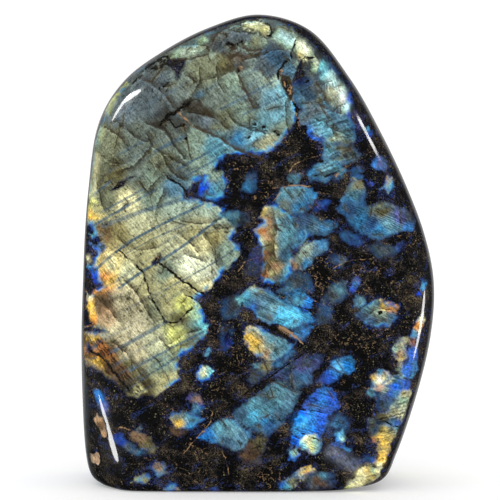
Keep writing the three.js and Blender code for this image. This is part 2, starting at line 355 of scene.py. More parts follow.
TOP_RIGHT = (
    Patch(((-1, 115.6), (1.4, 119.8), (4.6, 121.2), (8.8, 120.4), (10.4, 118.6), (12.2, 117.4),
        (10.8, 114.4), (9.6, 113), (7.4, 114.6), (5.2, 115), (3, 113), (1, 114.6)), ((1, 117.4, SLATE),
        (3.4, 118.8, RIVER), (6, 119.6, RIVER), (5, 116.6, RIVER), (8, 118.2, RIVER), (9, 115.8, SEA),
        (10.6, 117, SAGE), (4, 115.4, SLATE)), soft=1.2, hatch=Hatch(34, 0.8, 0.3)),
    Patch(((9.8, 111.6), (12.6, 113.2), (14.2, 114.4), (17, 114.2), (18.4, 110), (18.4, 106), (14, 104),
        (11, 104.5), (9.8, 108)), ((11.4, 112.4, NIGHT), (15.6, 113.8, INDIGO), (13.6, 112.4, DUSK),
        (15.6, 110.6, PEWTER), (12, 109.4, RIVER), (11.4, 107, SEA), (14.6, 107.6, RIVER), (17, 107, MOSS),
        (17.4, 111, PEWTER)), soft=1.0, hatch=Hatch(26, 0.9, 0.35)),
    Patch(((11, 103), (14, 105.5), (18, 106.6), (22, 104.8), (25, 102.4), (26.4, 99.5), (26.6, 96),
        (25, 94.2), (20, 94.8), (16.8, 95.4), (14, 96.4), (13.2, 99.6), (11, 100.4)), ((12.4, 102.6, SLATE),
        (15.6, 104.4, PEWTER), (20, 103.4, SEA), (17, 101, TEAL), (16.4, 98, LAGOON), (19, 97.6, TEAL),
        (22.6, 100, SEA), (24.4, 98, TEAL), (26, 99, DUSK), (22, 96.4, MIST), (14.2, 97, GLINT),
        (16.4, 96, GLINT), (24, 95, OLIVE), (20, 95.6, MOSS)), soft=0.5, hatch=RUNGS),
    Patch(((17.6, 92.5), (18.2, 95), (21, 95), (26, 94.6), (27.8, 92.4), (27, 90), (24, 89.6), (20, 89.6),
        (17.6, 90)), ((19.4, 93.4, TEAL), (22.4, 94.2, OLIVE), (24.6, 93.4, LOAM), (21.6, 92, SEA),
        (24.6, 91.2, SEA), (26.8, 91.4, SMOKE), (22, 90.4, MOSS), (18.8, 91, SEA)), soft=0.9, glow=0.95,
        hatch=RUNGS),
    Patch(((13, 86.3), (15, 88.4), (17, 89.8), (22, 89.6), (24.2, 87.6), (22.4, 85.6), (18, 84.6),
        (14, 85)), ((15, 87, STEEL), (18, 88.2, LAGOON), (21.6, 88.4, TEAL), (16, 85.4, RIVER),
        (20.6, 85.8, DUSK)), soft=0.7, hatch=RUNGS),
    Patch(((4.4, 126.4), (7, 127), (10, 125.8), (12.6, 124.2), (15, 122), (17.4, 119.6), (20, 116.6),
        (22.4, 113.2), (24.8, 109.6), (25.4, 106), (25, 103.4), (23, 102.8), (18.4, 106.6), (17, 111),
        (13, 114.6), (10, 119), (6, 122), (3.4, 124.2)), ((6.6, 126, MOSS), (9.4, 125, SAGE),
        (12.4, 123.4, LICHEN), (14.4, 121.6, SLATE), (16.6, 119, SMOKE), (18.4, 117.4, RIVER),
        (20.4, 115.4, DUSK), (22, 113, RIVER), (23.8, 110.4, RIVER), (24.6, 106, DUSK), (20, 106, SEA),
        (14, 117, LICHEN)), soft=1.2, fringe=0.0, hatch=BAND),
    wash(((3.4, 124.2), (4.4, 125.8), (6, 126), (8.2, 124.9), (10.4, 123.2), (9.8, 121.6), (8.6, 120.9),
        (6, 122.4)), ((4.6, 125.2, LEAF), (6.6, 124.8, ICE), (8.6, 123.4, ICE), (9, 121.6, LEAF),
        (5.6, 123.2, LEAF)), soft=1.2, hatch=BAND),
    wash(((9.9, 122.2), (10.6, 123.2), (12.6, 122.9), (14.8, 120.4), (15, 119), (13.6, 118.3),
        (12.2, 117.8), (10.6, 119), (10, 120.4)), ((11.4, 122, PEARL), (12.4, 121.2, PEARL),
        (13.8, 119.9, PEARL), (12.8, 118.5, BUTTER), (11, 119.2, BRASS), (10.4, 120.8, LEAF),
        (14.6, 119.2, LEAF)), soft=1.2, hatch=BAND),
    wash(((11.2, 116), (12.8, 118), (15.4, 118.6), (16.6, 117.2), (16.2, 114.8), (13.6, 114.6)),
        ((12.8, 116.4, LOAM), (13.8, 117.6, MOSS), (15.8, 117.2, PEARL), (15.2, 115.8, LEAF),
        (13.8, 115.2, RIVER)), soft=1.0, hatch=RUNGS),
    wash(((16.6, 115), (16.6, 116.8), (17.8, 117.6), (19.2, 116.2), (18.8, 115)), ((17.6, 116.2, AQUA),
        (18.2, 115.4, SEA)), soft=1.0),
    wash(((17, 113), (18.2, 114.8), (20.4, 114.6), (21.8, 112.4), (23.6, 110.6), (24.8, 108.6),
        (25.2, 105.8), (25, 103.4), (23, 102.8), (21, 105.2), (18.4, 106.6), (17.4, 110)),
        ((18.4, 113.6, AQUA), (19.8, 113.2, ICE), (20.9, 111.6, ICE), (23.2, 108.6, ICE),
        (22.6, 110.4, LEAF), (20, 110, CREAM), (21.4, 108.8, PEARL), (22.7, 106.8, PEARL),
        (20.4, 107, MIST), (24.2, 105.2, ICE), (23.6, 103.6, LEAF), (18.4, 110.6, SEA), (18.8, 107.4, MOSS),
        (24.9, 107, GLINT), (24.9, 103.4, GLINT)), soft=1.0, hatch=RUNGS),
    gap(((9.4, 112.6), (10.2, 115), (11.8, 117.8), (12.6, 117.4), (11.4, 114.8), (11, 112.8)), soft=0.5,
        fringe=0.0),
    Patch(((28.9, 99.4), (30, 99.7), (31.2, 97.8), (30.8, 96.6), (29.8, 97.8)), ((30.6, 97.6, GLINT),
        (29.4, 99.2, SKY)), fringe=0.0),
    Patch(((31, 89.6), (32.5, 91.9), (35, 91.6), (36.4, 89), (34.5, 87.4), (32, 88.2)), ((33, 89.6, VIOLET),
        (35, 90, DUSK), (31.8, 89.6, AZURE)), soft=0.8, glow=0.8),
    Patch(((33, 82.2), (34.4, 84.2), (35.4, 86.7), (37, 85.6), (37.4, 83), (36, 81.7), (34.5, 82.8)),
        ((33.6, 82.8, MIST), (35.4, 85, GOLD), (36.7, 83.6, SKY)), soft=0.5, glow=0.85, fringe=0.6),
    Patch(((25, 88), (27.4, 89), (28.8, 87.6), (26.5, 86.6)), ((27, 88, NIGHT),), soft=0.8),
    Patch(((25.3, 86.2), (27.6, 86.6), (28.6, 85.2), (26, 84.8)), ((27, 86, DUSK),), soft=0.7),
    Patch(((29.8, 84.8), (31.8, 83.8), (31, 83), (29.8, 83.6)), ((30.6, 84, ELECTRIC),), soft=0.5),
)

HEART_PATCHES = (
    Patch(((4.4, 79.5), (6, 82.7), (10, 83.5), (14, 83.2), (16.2, 81.5), (15.5, 79), (13, 76.4), (10, 75),
        (7, 77.4)), ((6.6, 81.6, TEAL), (10.5, 82, LAGOON), (10.5, 79.6, SEA), (14.8, 80.6, STEEL),
        (7.4, 78, LICHEN), (11, 77.8, STEEL), (14, 77.4, DUSK)), soft=0.6, hatch=FINE),
    Patch(((0.8, 75.4), (2, 77.6), (4.2, 78.6), (7, 77.2), (10, 75), (13.8, 73.8), (14.2, 70), (12.4, 67.8),
        (9, 65.8), (10, 62.6), (8.6, 59), (7.4, 56.6), (3.4, 56.4), (0.4, 57.8), (1.2, 61), (0.6, 66),
        (-0.8, 71.6), (1.4, 73.4)), ((3.4, 77.4, MIST), (6, 76, SAGE), (6, 73, LAGOON), (8.4, 74, SEA),
        (8.6, 71.6, TEAL), (10.8, 73, RIVER), (12.4, 70.4, STEEL), (8, 69, TEAL), (6.4, 67.6, LAGOON),
        (9.4, 66.8, RIVER), (7.4, 64.8, RIVER), (5.4, 60.4, MOSS), (8, 60, LAGOON), (4.4, 58, SLATE),
        (7, 57.6, RIVER)), soft=0.5, fringe=1.0, hatch=FINE),
    wash(((-2, 72), (1, 78), (3.2, 77.6), (4.4, 74), (5.2, 70), (5.6, 66.4), (4.8, 63.8), (7, 61.6),
        (4.4, 59), (2.6, 57), (-1, 57), (-1, 66)), ((2.2, 76.4, BRASS), (2.8, 74.4, TAN), (1.4, 71.4, RUST),
        (1, 73.2, STRAW), (2.8, 69.6, TAN), (4.2, 71, STRAW), (0.6, 68, CREAM), (3, 67, KHAKI),
        (4.8, 66.6, STRAW), (3.2, 65, UMBER), (1.6, 64.4, RUST), (4, 63.6, KHAKI), (2.2, 62.4, UMBER),
        (4.6, 61.4, TAN), (2, 59.4, RUST), (3.6, 59.6, STRAW), (2.8, 72.4, TAN)), soft=2.4),
    Patch(((10, 76), (15, 75.4), (18, 74), (21.4, 73), (20, 71), (18, 70), (13.6, 70.4)),
        ((12.6, 74.4, DUSK), (15.4, 72, SEA), (18, 72, STEEL), (20.4, 72.2, STEEL)), soft=1.2, glow=0.85,
        hatch=CROSSING),
    Patch(((9.3, 63), (12, 67), (15, 68.7), (19.3, 68.7), (19.2, 66.4), (16, 63.8), (12, 60.4), (10, 60.4)),
        ((13.2, 66, MIST), (18, 67.2, STEEL), (11.2, 63, SAGE), (10, 61.6, TAN), (16, 65, SEA),
        (13, 62, STEEL)), soft=0.7, hatch=FINE),
    Patch(((22.8, 79.5), (24.3, 83), (26, 85.2), (28.2, 84.6), (29.6, 81.5), (29, 79), (26, 77.2),
        (23, 77.4)), ((27, 84, KHAKI), (25, 83.6, MOSS), (26.6, 81, TEAL), (25, 79, STEEL),
        (28.4, 80, DUSK)), soft=0.7, hatch=CROSSING),
    Patch(((22, 77.5), (25, 79), (30, 77.6), (34, 79), (40, 77.4), (43, 74), (42.2, 71.4), (37, 70.8),
        (33, 68.8), (29, 70), (25, 73)), ((24.6, 76, DUSK), (28, 74.6, STEEL), (31, 73, DUSK),
        (34, 76.6, OLIVE), (33.4, 78, MOSS), (35.8, 73, LAGOON), (39, 74.6, VIOLET), (33.4, 71, STEEL),
        (41.2, 71.8, AZURE), (38, 72, SEA), (41.4, 75, SMOKE)), soft=1.0, glow=0.92, hatch=CROSSING),
    Patch(((22, 70.5), (25, 71), (28.2, 69.4), (28.6, 67.4), (25, 67.4), (23, 68.8)), ((25, 69.4, DUSK),
        (27.6, 68, COBALT)), soft=1.0, glow=0.85),
    Patch(((36.4, 66), (38, 67.7), (39.2, 66.8), (37.5, 65)), ((37.8, 66.4, COBALT),), soft=0.8, glow=0.8),
    Patch(((30, 66.6), (33, 67.8), (37, 66.8), (37, 64.6), (33, 63.8)), ((32, 66, SMOKE),
        (34, 65.4, SLATE)), soft=1.4, glow=0.6),
    Patch(((5.4, 54.6), (7.6, 57), (10, 59.8), (13, 59.4), (14.6, 57), (14.8, 54.8), (9, 54.8), (7, 53.6)),
        ((7.4, 55.4, SEA), (11, 57.4, SLATE), (12.6, 58.6, RIVER), (13.4, 56, DUSK)), soft=1.2, glow=0.8,
        hatch=CROSSING),
    Patch(((-2.8, 60), (-1.4, 66), (0.8, 66.4), (0.5, 60), (-1, 58.6)), ((-0.6, 63, VIOLET),
        (-1.4, 62, SLATE)), soft=1.6, glow=0.36),
    Patch(((19.4, 63.5), (21, 64.8), (24.6, 63), (23, 61.6), (20.5, 62)), ((21, 63.4, DUSK),
        (23.6, 62.8, PEWTER)), soft=1.2, glow=0.7),
    Patch(((8, 85.4), (9.6, 87), (12, 86), (10.4, 84.2)), ((10, 85.8, TEAL),), soft=1.0, glow=0.75),
    Patch(((16, 79.4), (19, 79.4), (18.4, 76.8), (15, 76.6)), ((17, 78.4, COBALT),), soft=1.2, glow=0.8),
    Patch(((-4.4, 82.5), (-3, 86.4), (-0.8, 87.4), (-0.6, 83), (-2, 81.4)), ((-3.6, 83.4, STEEL),
        (-1.6, 85.6, DUSK)), soft=1.2, glow=0.85),
    Patch(((-9.5, 75.8), (-6, 76.6), (-2.4, 75.6), (-2.6, 73), (-6, 72.6)), ((-7, 74.8, TEAL),
        (-4, 74.4, COAL)), soft=1.2, glow=0.75),
    Patch(((25.3, 54.6), (25.8, 58.6), (27.3, 59.6), (27.9, 57), (26.7, 54.4)), ((26.6, 58, VIOLET),
        (26.4, 56.4, AZURE), (26, 55.2, ELECTRIC)), soft=0.6, hatch=CROSSING),
    Patch(((17.6, 52), (20, 56.7), (23.6, 56.7), (24.2, 54), (21, 51.4)), ((22.4, 55.8, TEAL),
        (19.6, 53.4, SMOKE), (21, 52.6, SMOKE)), soft=1.4, glow=0.8),
    Patch(((15.8, 46), (17, 51.2), (20.2, 50.6), (19.8, 46.2)), ((18, 49, DUSK), (17.4, 47, SMOKE)),
        soft=1.6, glow=0.6),
    Patch(((26.4, 51), (27, 53.7), (28.6, 53.2), (29.6, 51), (28, 50)), ((27.8, 52, LAGOON),), soft=0.9,
        glow=0.75),
    Patch(((26.8, 48.5), (29, 50.6), (31, 52.1), (33, 52.6), (38.2, 50.5), (37.8, 47.5), (36, 45.4),
        (32, 44.8), (29, 46)), ((30, 49.4, TEAL), (32.6, 51.2, TEAL), (34, 51, GOLD), (36.4, 50.4, AMBER),
        (36.4, 48, RIVER), (31, 46.4, DUSK), (34, 48.2, SAGE), (32, 49.4, SAGE), (34.5, 46.4, SLATE),
        (28.4, 48, DUSK)), soft=0.6, fringe=0.7, hatch=CROSSING),
    Patch(((44.4, 55.4), (45, 57.8), (46, 56.8), (45.4, 55)), ((45.2, 56.6, SKY),), soft=0.5, fringe=1.0),
    Patch(((43.3, 54), (44.4, 55.3), (44.6, 54), (43.9, 53.6)), ((44, 54.4, ELECTRIC),), soft=0.4),
    Patch(((-10.6, 50), (-9.6, 52.4), (-6, 53.4), (-4.2, 51), (-6, 47.4), (-9, 47.2)), ((-9.6, 50.4, DUSK),
        (-6.6, 50.4, SMOKE), (-6, 48.6, SLATE)), soft=1.4, glow=0.75),
    Patch(((-10.3, 42), (-9.4, 45.7), (-7, 44), (-7.6, 40.4), (-9, 38.4)), ((-8.6, 43, NIGHT),
        (-8.6, 40, COBALT)), soft=1.4, glow=0.8, hatch=Hatch(58, 0.8, 0.6)),
)

LOW_PATCHES = (
    Patch(((-5.8, 52.4), (-3.6, 54.8), (-1.4, 56.6), (0.6, 56), (5, 54), (8, 51.4), (11.6, 49.6),
        (15.2, 47.8), (14.8, 46.4), (12.4, 45.2), (8.6, 44.4), (5, 46), (2.4, 45.8), (-0.4, 47.4),
        (-1.4, 49.6), (-3.6, 50.6)), ((-1, 56.4, STRAW), (0.8, 55, KHAKI), (-0.8, 54.8, LAGOON),
        (-4.6, 52.4, AQUA), (-3, 53.4, SKY), (-2.6, 51, STEEL), (0.6, 53.4, SEA), (3.6, 53, SEA),
        (1, 50.6, SEA), (4, 50.4, LAGOON), (7, 49.6, SKY), (9.4, 48.6, SKY), (11.4, 47.8, SKY),
        (13.6, 46.8, STEEL), (0.6, 48.6, LAGOON), (3, 47.4, SLATE), (6, 47.4, SKY), (9, 45.8, SKY),
        (-1.6, 50, ROYAL)), soft=0.5, fringe=0.35, hatch=CROSSING),
    Patch(((7, 52), (8, 53.6), (10, 54.8), (13, 54.4), (14.8, 52.6), (14.4, 50.4), (13, 49.6), (10, 50.6)),
        ((8.2, 52.6, STEEL), (11.4, 51.8, SKY), (11, 54, STEEL), (13.6, 51.4, AZURE), (13, 50.4, ROYAL)),
        soft=0.7, hatch=CROSSING),
    Patch(((9, 43), (12, 45.7), (14.7, 44.6), (12.7, 40.8), (10.6, 41.2)), ((11, 44, STEEL),
        (13, 43.2, AZURE), (12.4, 41.6, DUSK)), soft=0.8, glow=0.85, hatch=CROSSING),
    Patch(((-4, 43), (-2.5, 45.2), (0.5, 45), (4.6, 42.2), (7, 41.6), (10.2, 40), (8, 37.4), (5, 35.4),
        (2, 35.9), (0, 36.8), (-2, 38.4), (-3.6, 41)), ((-2.4, 42.6, GOLD), (-0.4, 40.8, GOLD),
        (2, 38, SAND), (1.6, 43.6, LAGOON), (6, 39.6, TEAL), (4.6, 37.4, TEAL), (8.6, 39.2, SEA),
        (3.4, 41.2, TEAL), (3, 39.6, MIST), (-0.6, 43.6, BUTTER), (0.4, 38.4, BRASS)), soft=0.5, fringe=0.6,
        hatch=Hatch(-38, 0.9, 0.4)),
    Patch(((-2, 34.4), (1, 35.2), (4.6, 35.6), (3.6, 32.8), (1, 31.8)), ((1.6, 34, KHAKI),
        (-0.8, 34.2, TEAL)), soft=0.9, glow=0.85),
    Patch(((3, 31.3), (8, 34.8), (12, 37.4), (17.4, 37), (16.6, 34), (9, 30.3)), ((5, 32.4, VIOLET),
        (8, 34, DUSK), (11, 36.6, VIOLET), (13.4, 35.6, PEWTER), (16, 35.8, VIOLET)), soft=1.2, glow=0.5,
        hatch=CROSSING),
    Patch(((4.2, 34.6), (7.4, 37.2), (9.8, 39), (10, 37.8), (7.6, 35.6), (5.4, 33.8)), ((5, 34.8, STEEL),
        (7, 36.4, DUSK), (9, 38, STEEL)), soft=0.7, glow=0.85),
    Patch(((7.6, 30), (11, 33), (15, 33.6), (14.4, 29.4), (10, 28)), ((9.6, 31.6, DUSK), (12, 31.6, STEEL),
        (12, 33, VIOLET), (11, 29.4, RIVER)), soft=1.0, glow=0.85),
    Patch(((-2.6, 30), (-2, 33), (-0.4, 33.2), (1, 31), (-1, 29.4)), ((-1.4, 31.6, SLATE),), soft=0.9,
        glow=0.6),
    Patch(((-7.3, 21.4), (-1, 26), (5, 29.9), (9, 28.2), (11.7, 27), (9.2, 22.6), (6, 17.8), (2, 15.4),
        (-2, 16.9)), ((1.6, 22, TEAL), (-0.8, 21, SKY), (-1, 23.4, TEAL), (6, 26, TEAL), (5, 28.2, TEAL),
        (-4.4, 21.2, RIVER), (3, 18, DUSK), (1.6, 25.6, SEA), (8.6, 25, SEA), (6, 20.6, RIVER),
        (2, 19.6, STEEL), (0, 17, RIVER)), soft=1.3, fringe=0.1, hatch=Hatch(-30, 0.5, 0.3)),
    Patch(((-16.2, 14.6), (-12, 18.7), (-9, 20), (-6, 19.2), (-1.8, 15.5), (-4, 12.3), (-7, 11),
        (-10, 12.8)), ((-14.6, 15.6, AZURE), (-10.6, 17.4, TEAL), (-7.4, 16.4, LAGOON), (-4.4, 14.4, SEA),
        (-8.4, 13.6, RIVER), (-9, 19, TEAL)), soft=0.7, fringe=0.3, hatch=Hatch(-60, 0.6, 0.3)),
    Patch(((-5.4, 10), (0, 15.3), (2.6, 14.2), (1.2, 11), (0, 7.6), (-4, 8.2)), ((-2, 11, UMBER),
        (0.6, 13.6, OLIVE)), soft=1.3, glow=0.75, fringe=0.1),
    Patch(((15.6, 29.4), (17, 31.6), (19, 33.6), (21, 35.4), (23.4, 36.6), (25.4, 36.8), (26.4, 35.6),
        (26.2, 33.4), (25, 32.2), (23, 32.6), (22, 31), (20.6, 30), (18, 29)), ((22, 34.2, SKY),
        (24.6, 34.4, AZURE), (20.6, 32.8, AZURE), (19.4, 31.4, ROYAL), (17, 30, COBALT), (25.4, 36, STEEL),
        (18.4, 33, GLINT)), soft=0.9, fringe=0.0, hatch=STEEP),
    Patch(((9, 12.4), (9, 15), (9.4, 17.4), (10.2, 19.8), (11.4, 21.6), (12.4, 23), (13.6, 24.6),
        (14, 26.4), (15.4, 27.6), (18, 28.4), (20, 28.2), (21.2, 26.6), (21.4, 25.2), (22.4, 23.6),
        (21.4, 22.2), (20.4, 21.4), (19.6, 19), (18.6, 17), (17, 15.4), (16.6, 13), (12, 12.4)),
        ((15.6, 27, GLINT), (18, 27.2, AZURE), (19.6, 26, ROYAL), (16, 25.4, GLINT), (13.6, 24, ROYAL),
        (17.4, 24.2, AZURE), (20.8, 24, ROYAL), (15, 23, AZURE), (12.6, 21.8, ROYAL), (14.6, 21.2, AZURE),
        (17.4, 21, ROYAL), (19.4, 20.8, ROYAL), (11.4, 19.6, AZURE), (12.4, 18.2, SKY), (14.4, 18.6, AZURE),
        (17.8, 18.8, ROYAL), (16.6, 17, GLINT), (10.4, 16.6, STEEL), (12.6, 16.4, AZURE),
        (10, 14.2, GLINT)), fringe=0.0, hatch=STEEP),
    Patch(((11.8, 13.4), (13, 15), (15, 15), (16.8, 13.6), (17.2, 12), (16.6, 10.4), (15, 10), (13.6, 10.8),
        (12, 11.4)), ((13.6, 13.4, BUTTER), (15.4, 13, LEAF), (12.4, 12.4, AQUA), (16.4, 12, LAGOON),
        (14.4, 12, LIME), (14.2, 10.8, BRASS), (15.6, 10.4, LEAF)), fringe=0.5, hatch=CROSSING),
    Patch(((8.4, 8.6), (8.6, 11.6), (10, 11.4), (11.2, 9.8), (10.2, 8.8)), ((9, 10.8, TEAL),
        (9.9, 10.2, LEAF), (10.8, 9.2, ROYAL), (8.8, 9, GLINT)), fringe=0.5),
    Patch(((19.6, 21), (22, 21.4), (24.6, 19.4), (24.4, 16.6), (22.6, 15.2), (19.4, 15), (18.6, 17)),
        ((21.6, 18.4, STEEL), (23, 19.6, DUSK), (20.4, 16.4, INDIGO), (22.6, 16.4, NIGHT), (20, 20, NIGHT)),
        soft=1.2, glow=0.75, hatch=STEEP),
    Patch(((21.2, 13.8), (21.6, 15.4), (22.8, 15.9), (24, 14.8), (23.4, 13.4), (22.2, 13.2)),
        ((22.4, 14.9, SKY), (23.2, 14, LEAF), (21.6, 14.2, AZURE)), soft=0.8, fringe=0.5),
    Patch(((19.8, 12.8), (22, 13.3), (25.4, 11.6), (25, 10.9), (22, 12)), ((22, 12.6, GLINT),
        (24.6, 11.4, STEEL)), glow=0.85),
    Patch(((28, 8), (29.6, 9.9), (32, 9.7), (32.8, 8), (30.8, 7)), ((30.2, 8.6, NIGHT), (31.8, 8.8, GLINT)),
        soft=0.8, glow=0.8),
    Patch(((9.4, 4.2), (10.6, 5.8), (12.4, 6.6), (13.8, 7.2), (15.6, 6.4), (15.6, 5.4), (14, 4.2),
        (12.8, 3.2), (11.4, 2.6), (10.4, 3.8)), ((11.4, 5.4, GOLD), (12.6, 5.8, BRASS), (12, 4.4, BUTTER),
        (13.2, 5, AMBER), (14.8, 6, BRASS), (11.4, 3.4, BUTTER), (10, 4.8, TEAL)), soft=0.5, fringe=0.4,
        hatch=FINE),
    Patch(((5.8, 1), (6, 3), (7.4, 3.4), (9.4, 4.2), (11, 3.4), (10.4, 1.2), (8.6, 0.3), (7, 0.4)),
        ((6.6, 2, GLINT), (7.6, 1.2, SKY), (8.8, 3, KHAKI), (9.8, 1.6, BRASS), (9, 0.9, AQUA),
        (10.2, 2.8, OLIVE)), hatch=FINE),
    Patch(((13, 4), (15, 5.2), (18, 5.2), (21, 4.4), (20.8, 1), (14, 0.6)), ((16, 3, UMBER),
        (18, 1.8, UMBER), (19.4, 4, DUSK), (20.4, 3, INDIGO), (18.2, 4.6, TEAL), (14, 2.6, SLATE)),
        soft=1.1, glow=0.8),
    Patch(((26.8, 5.4), (27.6, 6.5), (30, 7), (31.6, 6.5), (33.2, 6), (33.4, 4.6), (31.8, 3.2), (30, 1.8),
        (28, 1), (24.4, 0.6), (23, 1.1), (25.2, 2.8), (26.6, 3.8)), ((28.2, 5.8, BUTTER), (29.6, 5.6, GOLD),
        (31.6, 5.8, LEAF), (28.6, 4, BUTTER), (30.8, 4, BRASS), (26, 2, BUTTER), (28, 2, BUTTER),
        (24.4, 1.2, LIME), (30.6, 2.8, KHAKI), (32.6, 5, STRAW)), fringe=0.1, hatch=Hatch(-28, 0.8, 0.3)),
)

RIGHT_EDGE = (
    Patch(((32.4, 5.6), (34, 6.8), (34.8, 8.4), (34.8, 10), (35.8, 11.4), (36.4, 13), (37.4, 15.4),
        (38.2, 17), (38.8, 19), (37, 19.4), (34.6, 19.2), (32.4, 18.4), (31.8, 15.8), (31, 14.6),
        (31.4, 13.4), (32.8, 12.6), (32.4, 11), (33, 9.4), (32, 7.4)), ((33.6, 7, BUTTER),
        (33.6, 8.6, GOLD), (34, 10.2, GOLD), (34.2, 11.6, KHAKI), (34.6, 13, GOLD), (33, 14.6, GOLD),
        (31.6, 14, RUST), (35.8, 14.8, BRASS), (34, 16.4, BRASS), (36.4, 16.4, STRAW), (33.2, 17.8, KHAKI),
        (36.8, 18, SLATE), (37.8, 17.6, TEAL)), fringe=0.1, hatch=LADDER),
    Patch(((29.8, 16.4), (30, 19.8), (31.8, 19.8), (32.6, 17.4), (31.6, 15.2)), ((30.8, 18, OLIVE),),
        soft=1.0, glow=0.8, hatch=LADDER),
    Patch(((31, 19.6), (33, 21), (33.6, 22), (35.4, 22.6), (36.6, 24.4), (38.4, 26.2), (39, 28),
        (40.8, 28.8), (42, 27.6), (41, 23.6), (40, 20.4), (39, 18.6), (36, 18.4), (33, 18.6)),
        ((34, 20.4, OLIVE), (36, 20.6, KHAKI), (37.6, 21.6, STRAW), (39, 20.6, BUTTER), (39.4, 22.6, CREAM),
        (38, 23.6, SAGE), (39.8, 24.8, LEAF), (40.4, 27, BUTTER), (39.4, 27.4, BRASS), (38, 18.8, GLINT),
        (36.8, 19.2, STEEL), (33, 19.6, SMOKE)), fringe=0.1, hatch=LADDER),
    Patch(((29.6, 26.6), (31, 28.8), (34, 29.4), (36.4, 31.6), (39, 31.2), (41.6, 30), (41.4, 28.6),
        (39.2, 28), (38.2, 26.4), (36.4, 24.4), (35.2, 22.4), (33, 21.8), (32, 23.6), (32.6, 25.4),
        (31, 25.8)), ((30.8, 27.4, TEAL), (32.6, 27.4, INDIGO), (34.6, 27.6, SAGE), (36, 26.6, GLINT),
        (37.4, 28.6, ROYAL), (38.8, 29.4, DUSK), (36.6, 30.4, TEAL), (40.2, 29.4, ROYAL), (34, 24.4, NIGHT),
        (35.2, 25.8, NIGHT), (36.6, 24.8, DUSK), (37.6, 26.6, STEEL), (33.6, 22.6, INDIGO),
        (35, 23.4, RIVER)), soft=0.8, fringe=0.1, hatch=STEEP),
    Patch(((30.6, 29.2), (31, 31.6), (32.6, 32.4), (34, 33.6), (35.2, 33), (36.2, 31.8), (36.2, 30.4),
        (34.6, 29.4), (33, 28.2), (31.4, 28.4)), ((31.6, 31, GOLD), (33.2, 30.4, SNOW), (32.6, 29.8, PEARL),
        (34.4, 30.8, BUTTER), (34.6, 32.4, SAND), (35.4, 31.2, CREAM), (33, 28.8, AMBER),
        (31.2, 29.6, TEAL), (33.6, 32.8, SKY)), soft=0.5, fringe=0.3, hatch=FINE),
    Patch(((36.4, 37.2), (37, 39.4), (38.4, 40.8), (40.4, 40.6), (40.8, 37.8), (39.8, 35.4), (38.2, 35.2)),
        ((37.4, 36.8, TAN), (38.6, 36.2, GOLD), (38.8, 38, SAND), (37.6, 38.6, LEAF), (39, 39.8, CREAM),
        (39.8, 37.4, KHAKI), (38, 37.4, RUST)), fringe=0.2, hatch=CROSSING),
    Patch(((38, 32), (38.2, 35.6), (39.8, 35.8), (40.4, 33.4), (39.8, 31.6)), ((39, 35, BRASS),
        (39, 33.4, SAGE), (39.6, 32.4, LEAF)), hatch=CROSSING),
    Patch(((39.8, 32.4), (40.4, 35), (41, 37), (41.2, 39.4), (42.8, 39.8), (43.6, 36.6), (43.2, 33.6),
        (42.2, 31), (40.6, 31)), ((41.6, 38.6, GLINT), (41.9, 36.6, ROYAL), (40.8, 35.6, COBALT),
        (41.4, 34.4, ROYAL), (42.6, 34.6, STEEL), (41.4, 32.2, ROYAL), (42.2, 31.8, SKY)), hatch=STEEP),
    Patch(((41.3, 42), (42.5, 44.8), (44, 47.8), (45.4, 49), (45, 45), (43.5, 41.3)), ((42.2, 43.4, TEAL),
        (43.4, 45.2, AMBER), (44.6, 47.6, BUTTER)), soft=0.5, fringe=0.5),
    Patch(((38.2, 41), (39, 42.4), (42.8, 41.4), (42.8, 40), (40.5, 40.4)), ((40.4, 41.2, STRAW),
        (42, 40.8, RUST)), soft=0.5, glow=0.85),
)

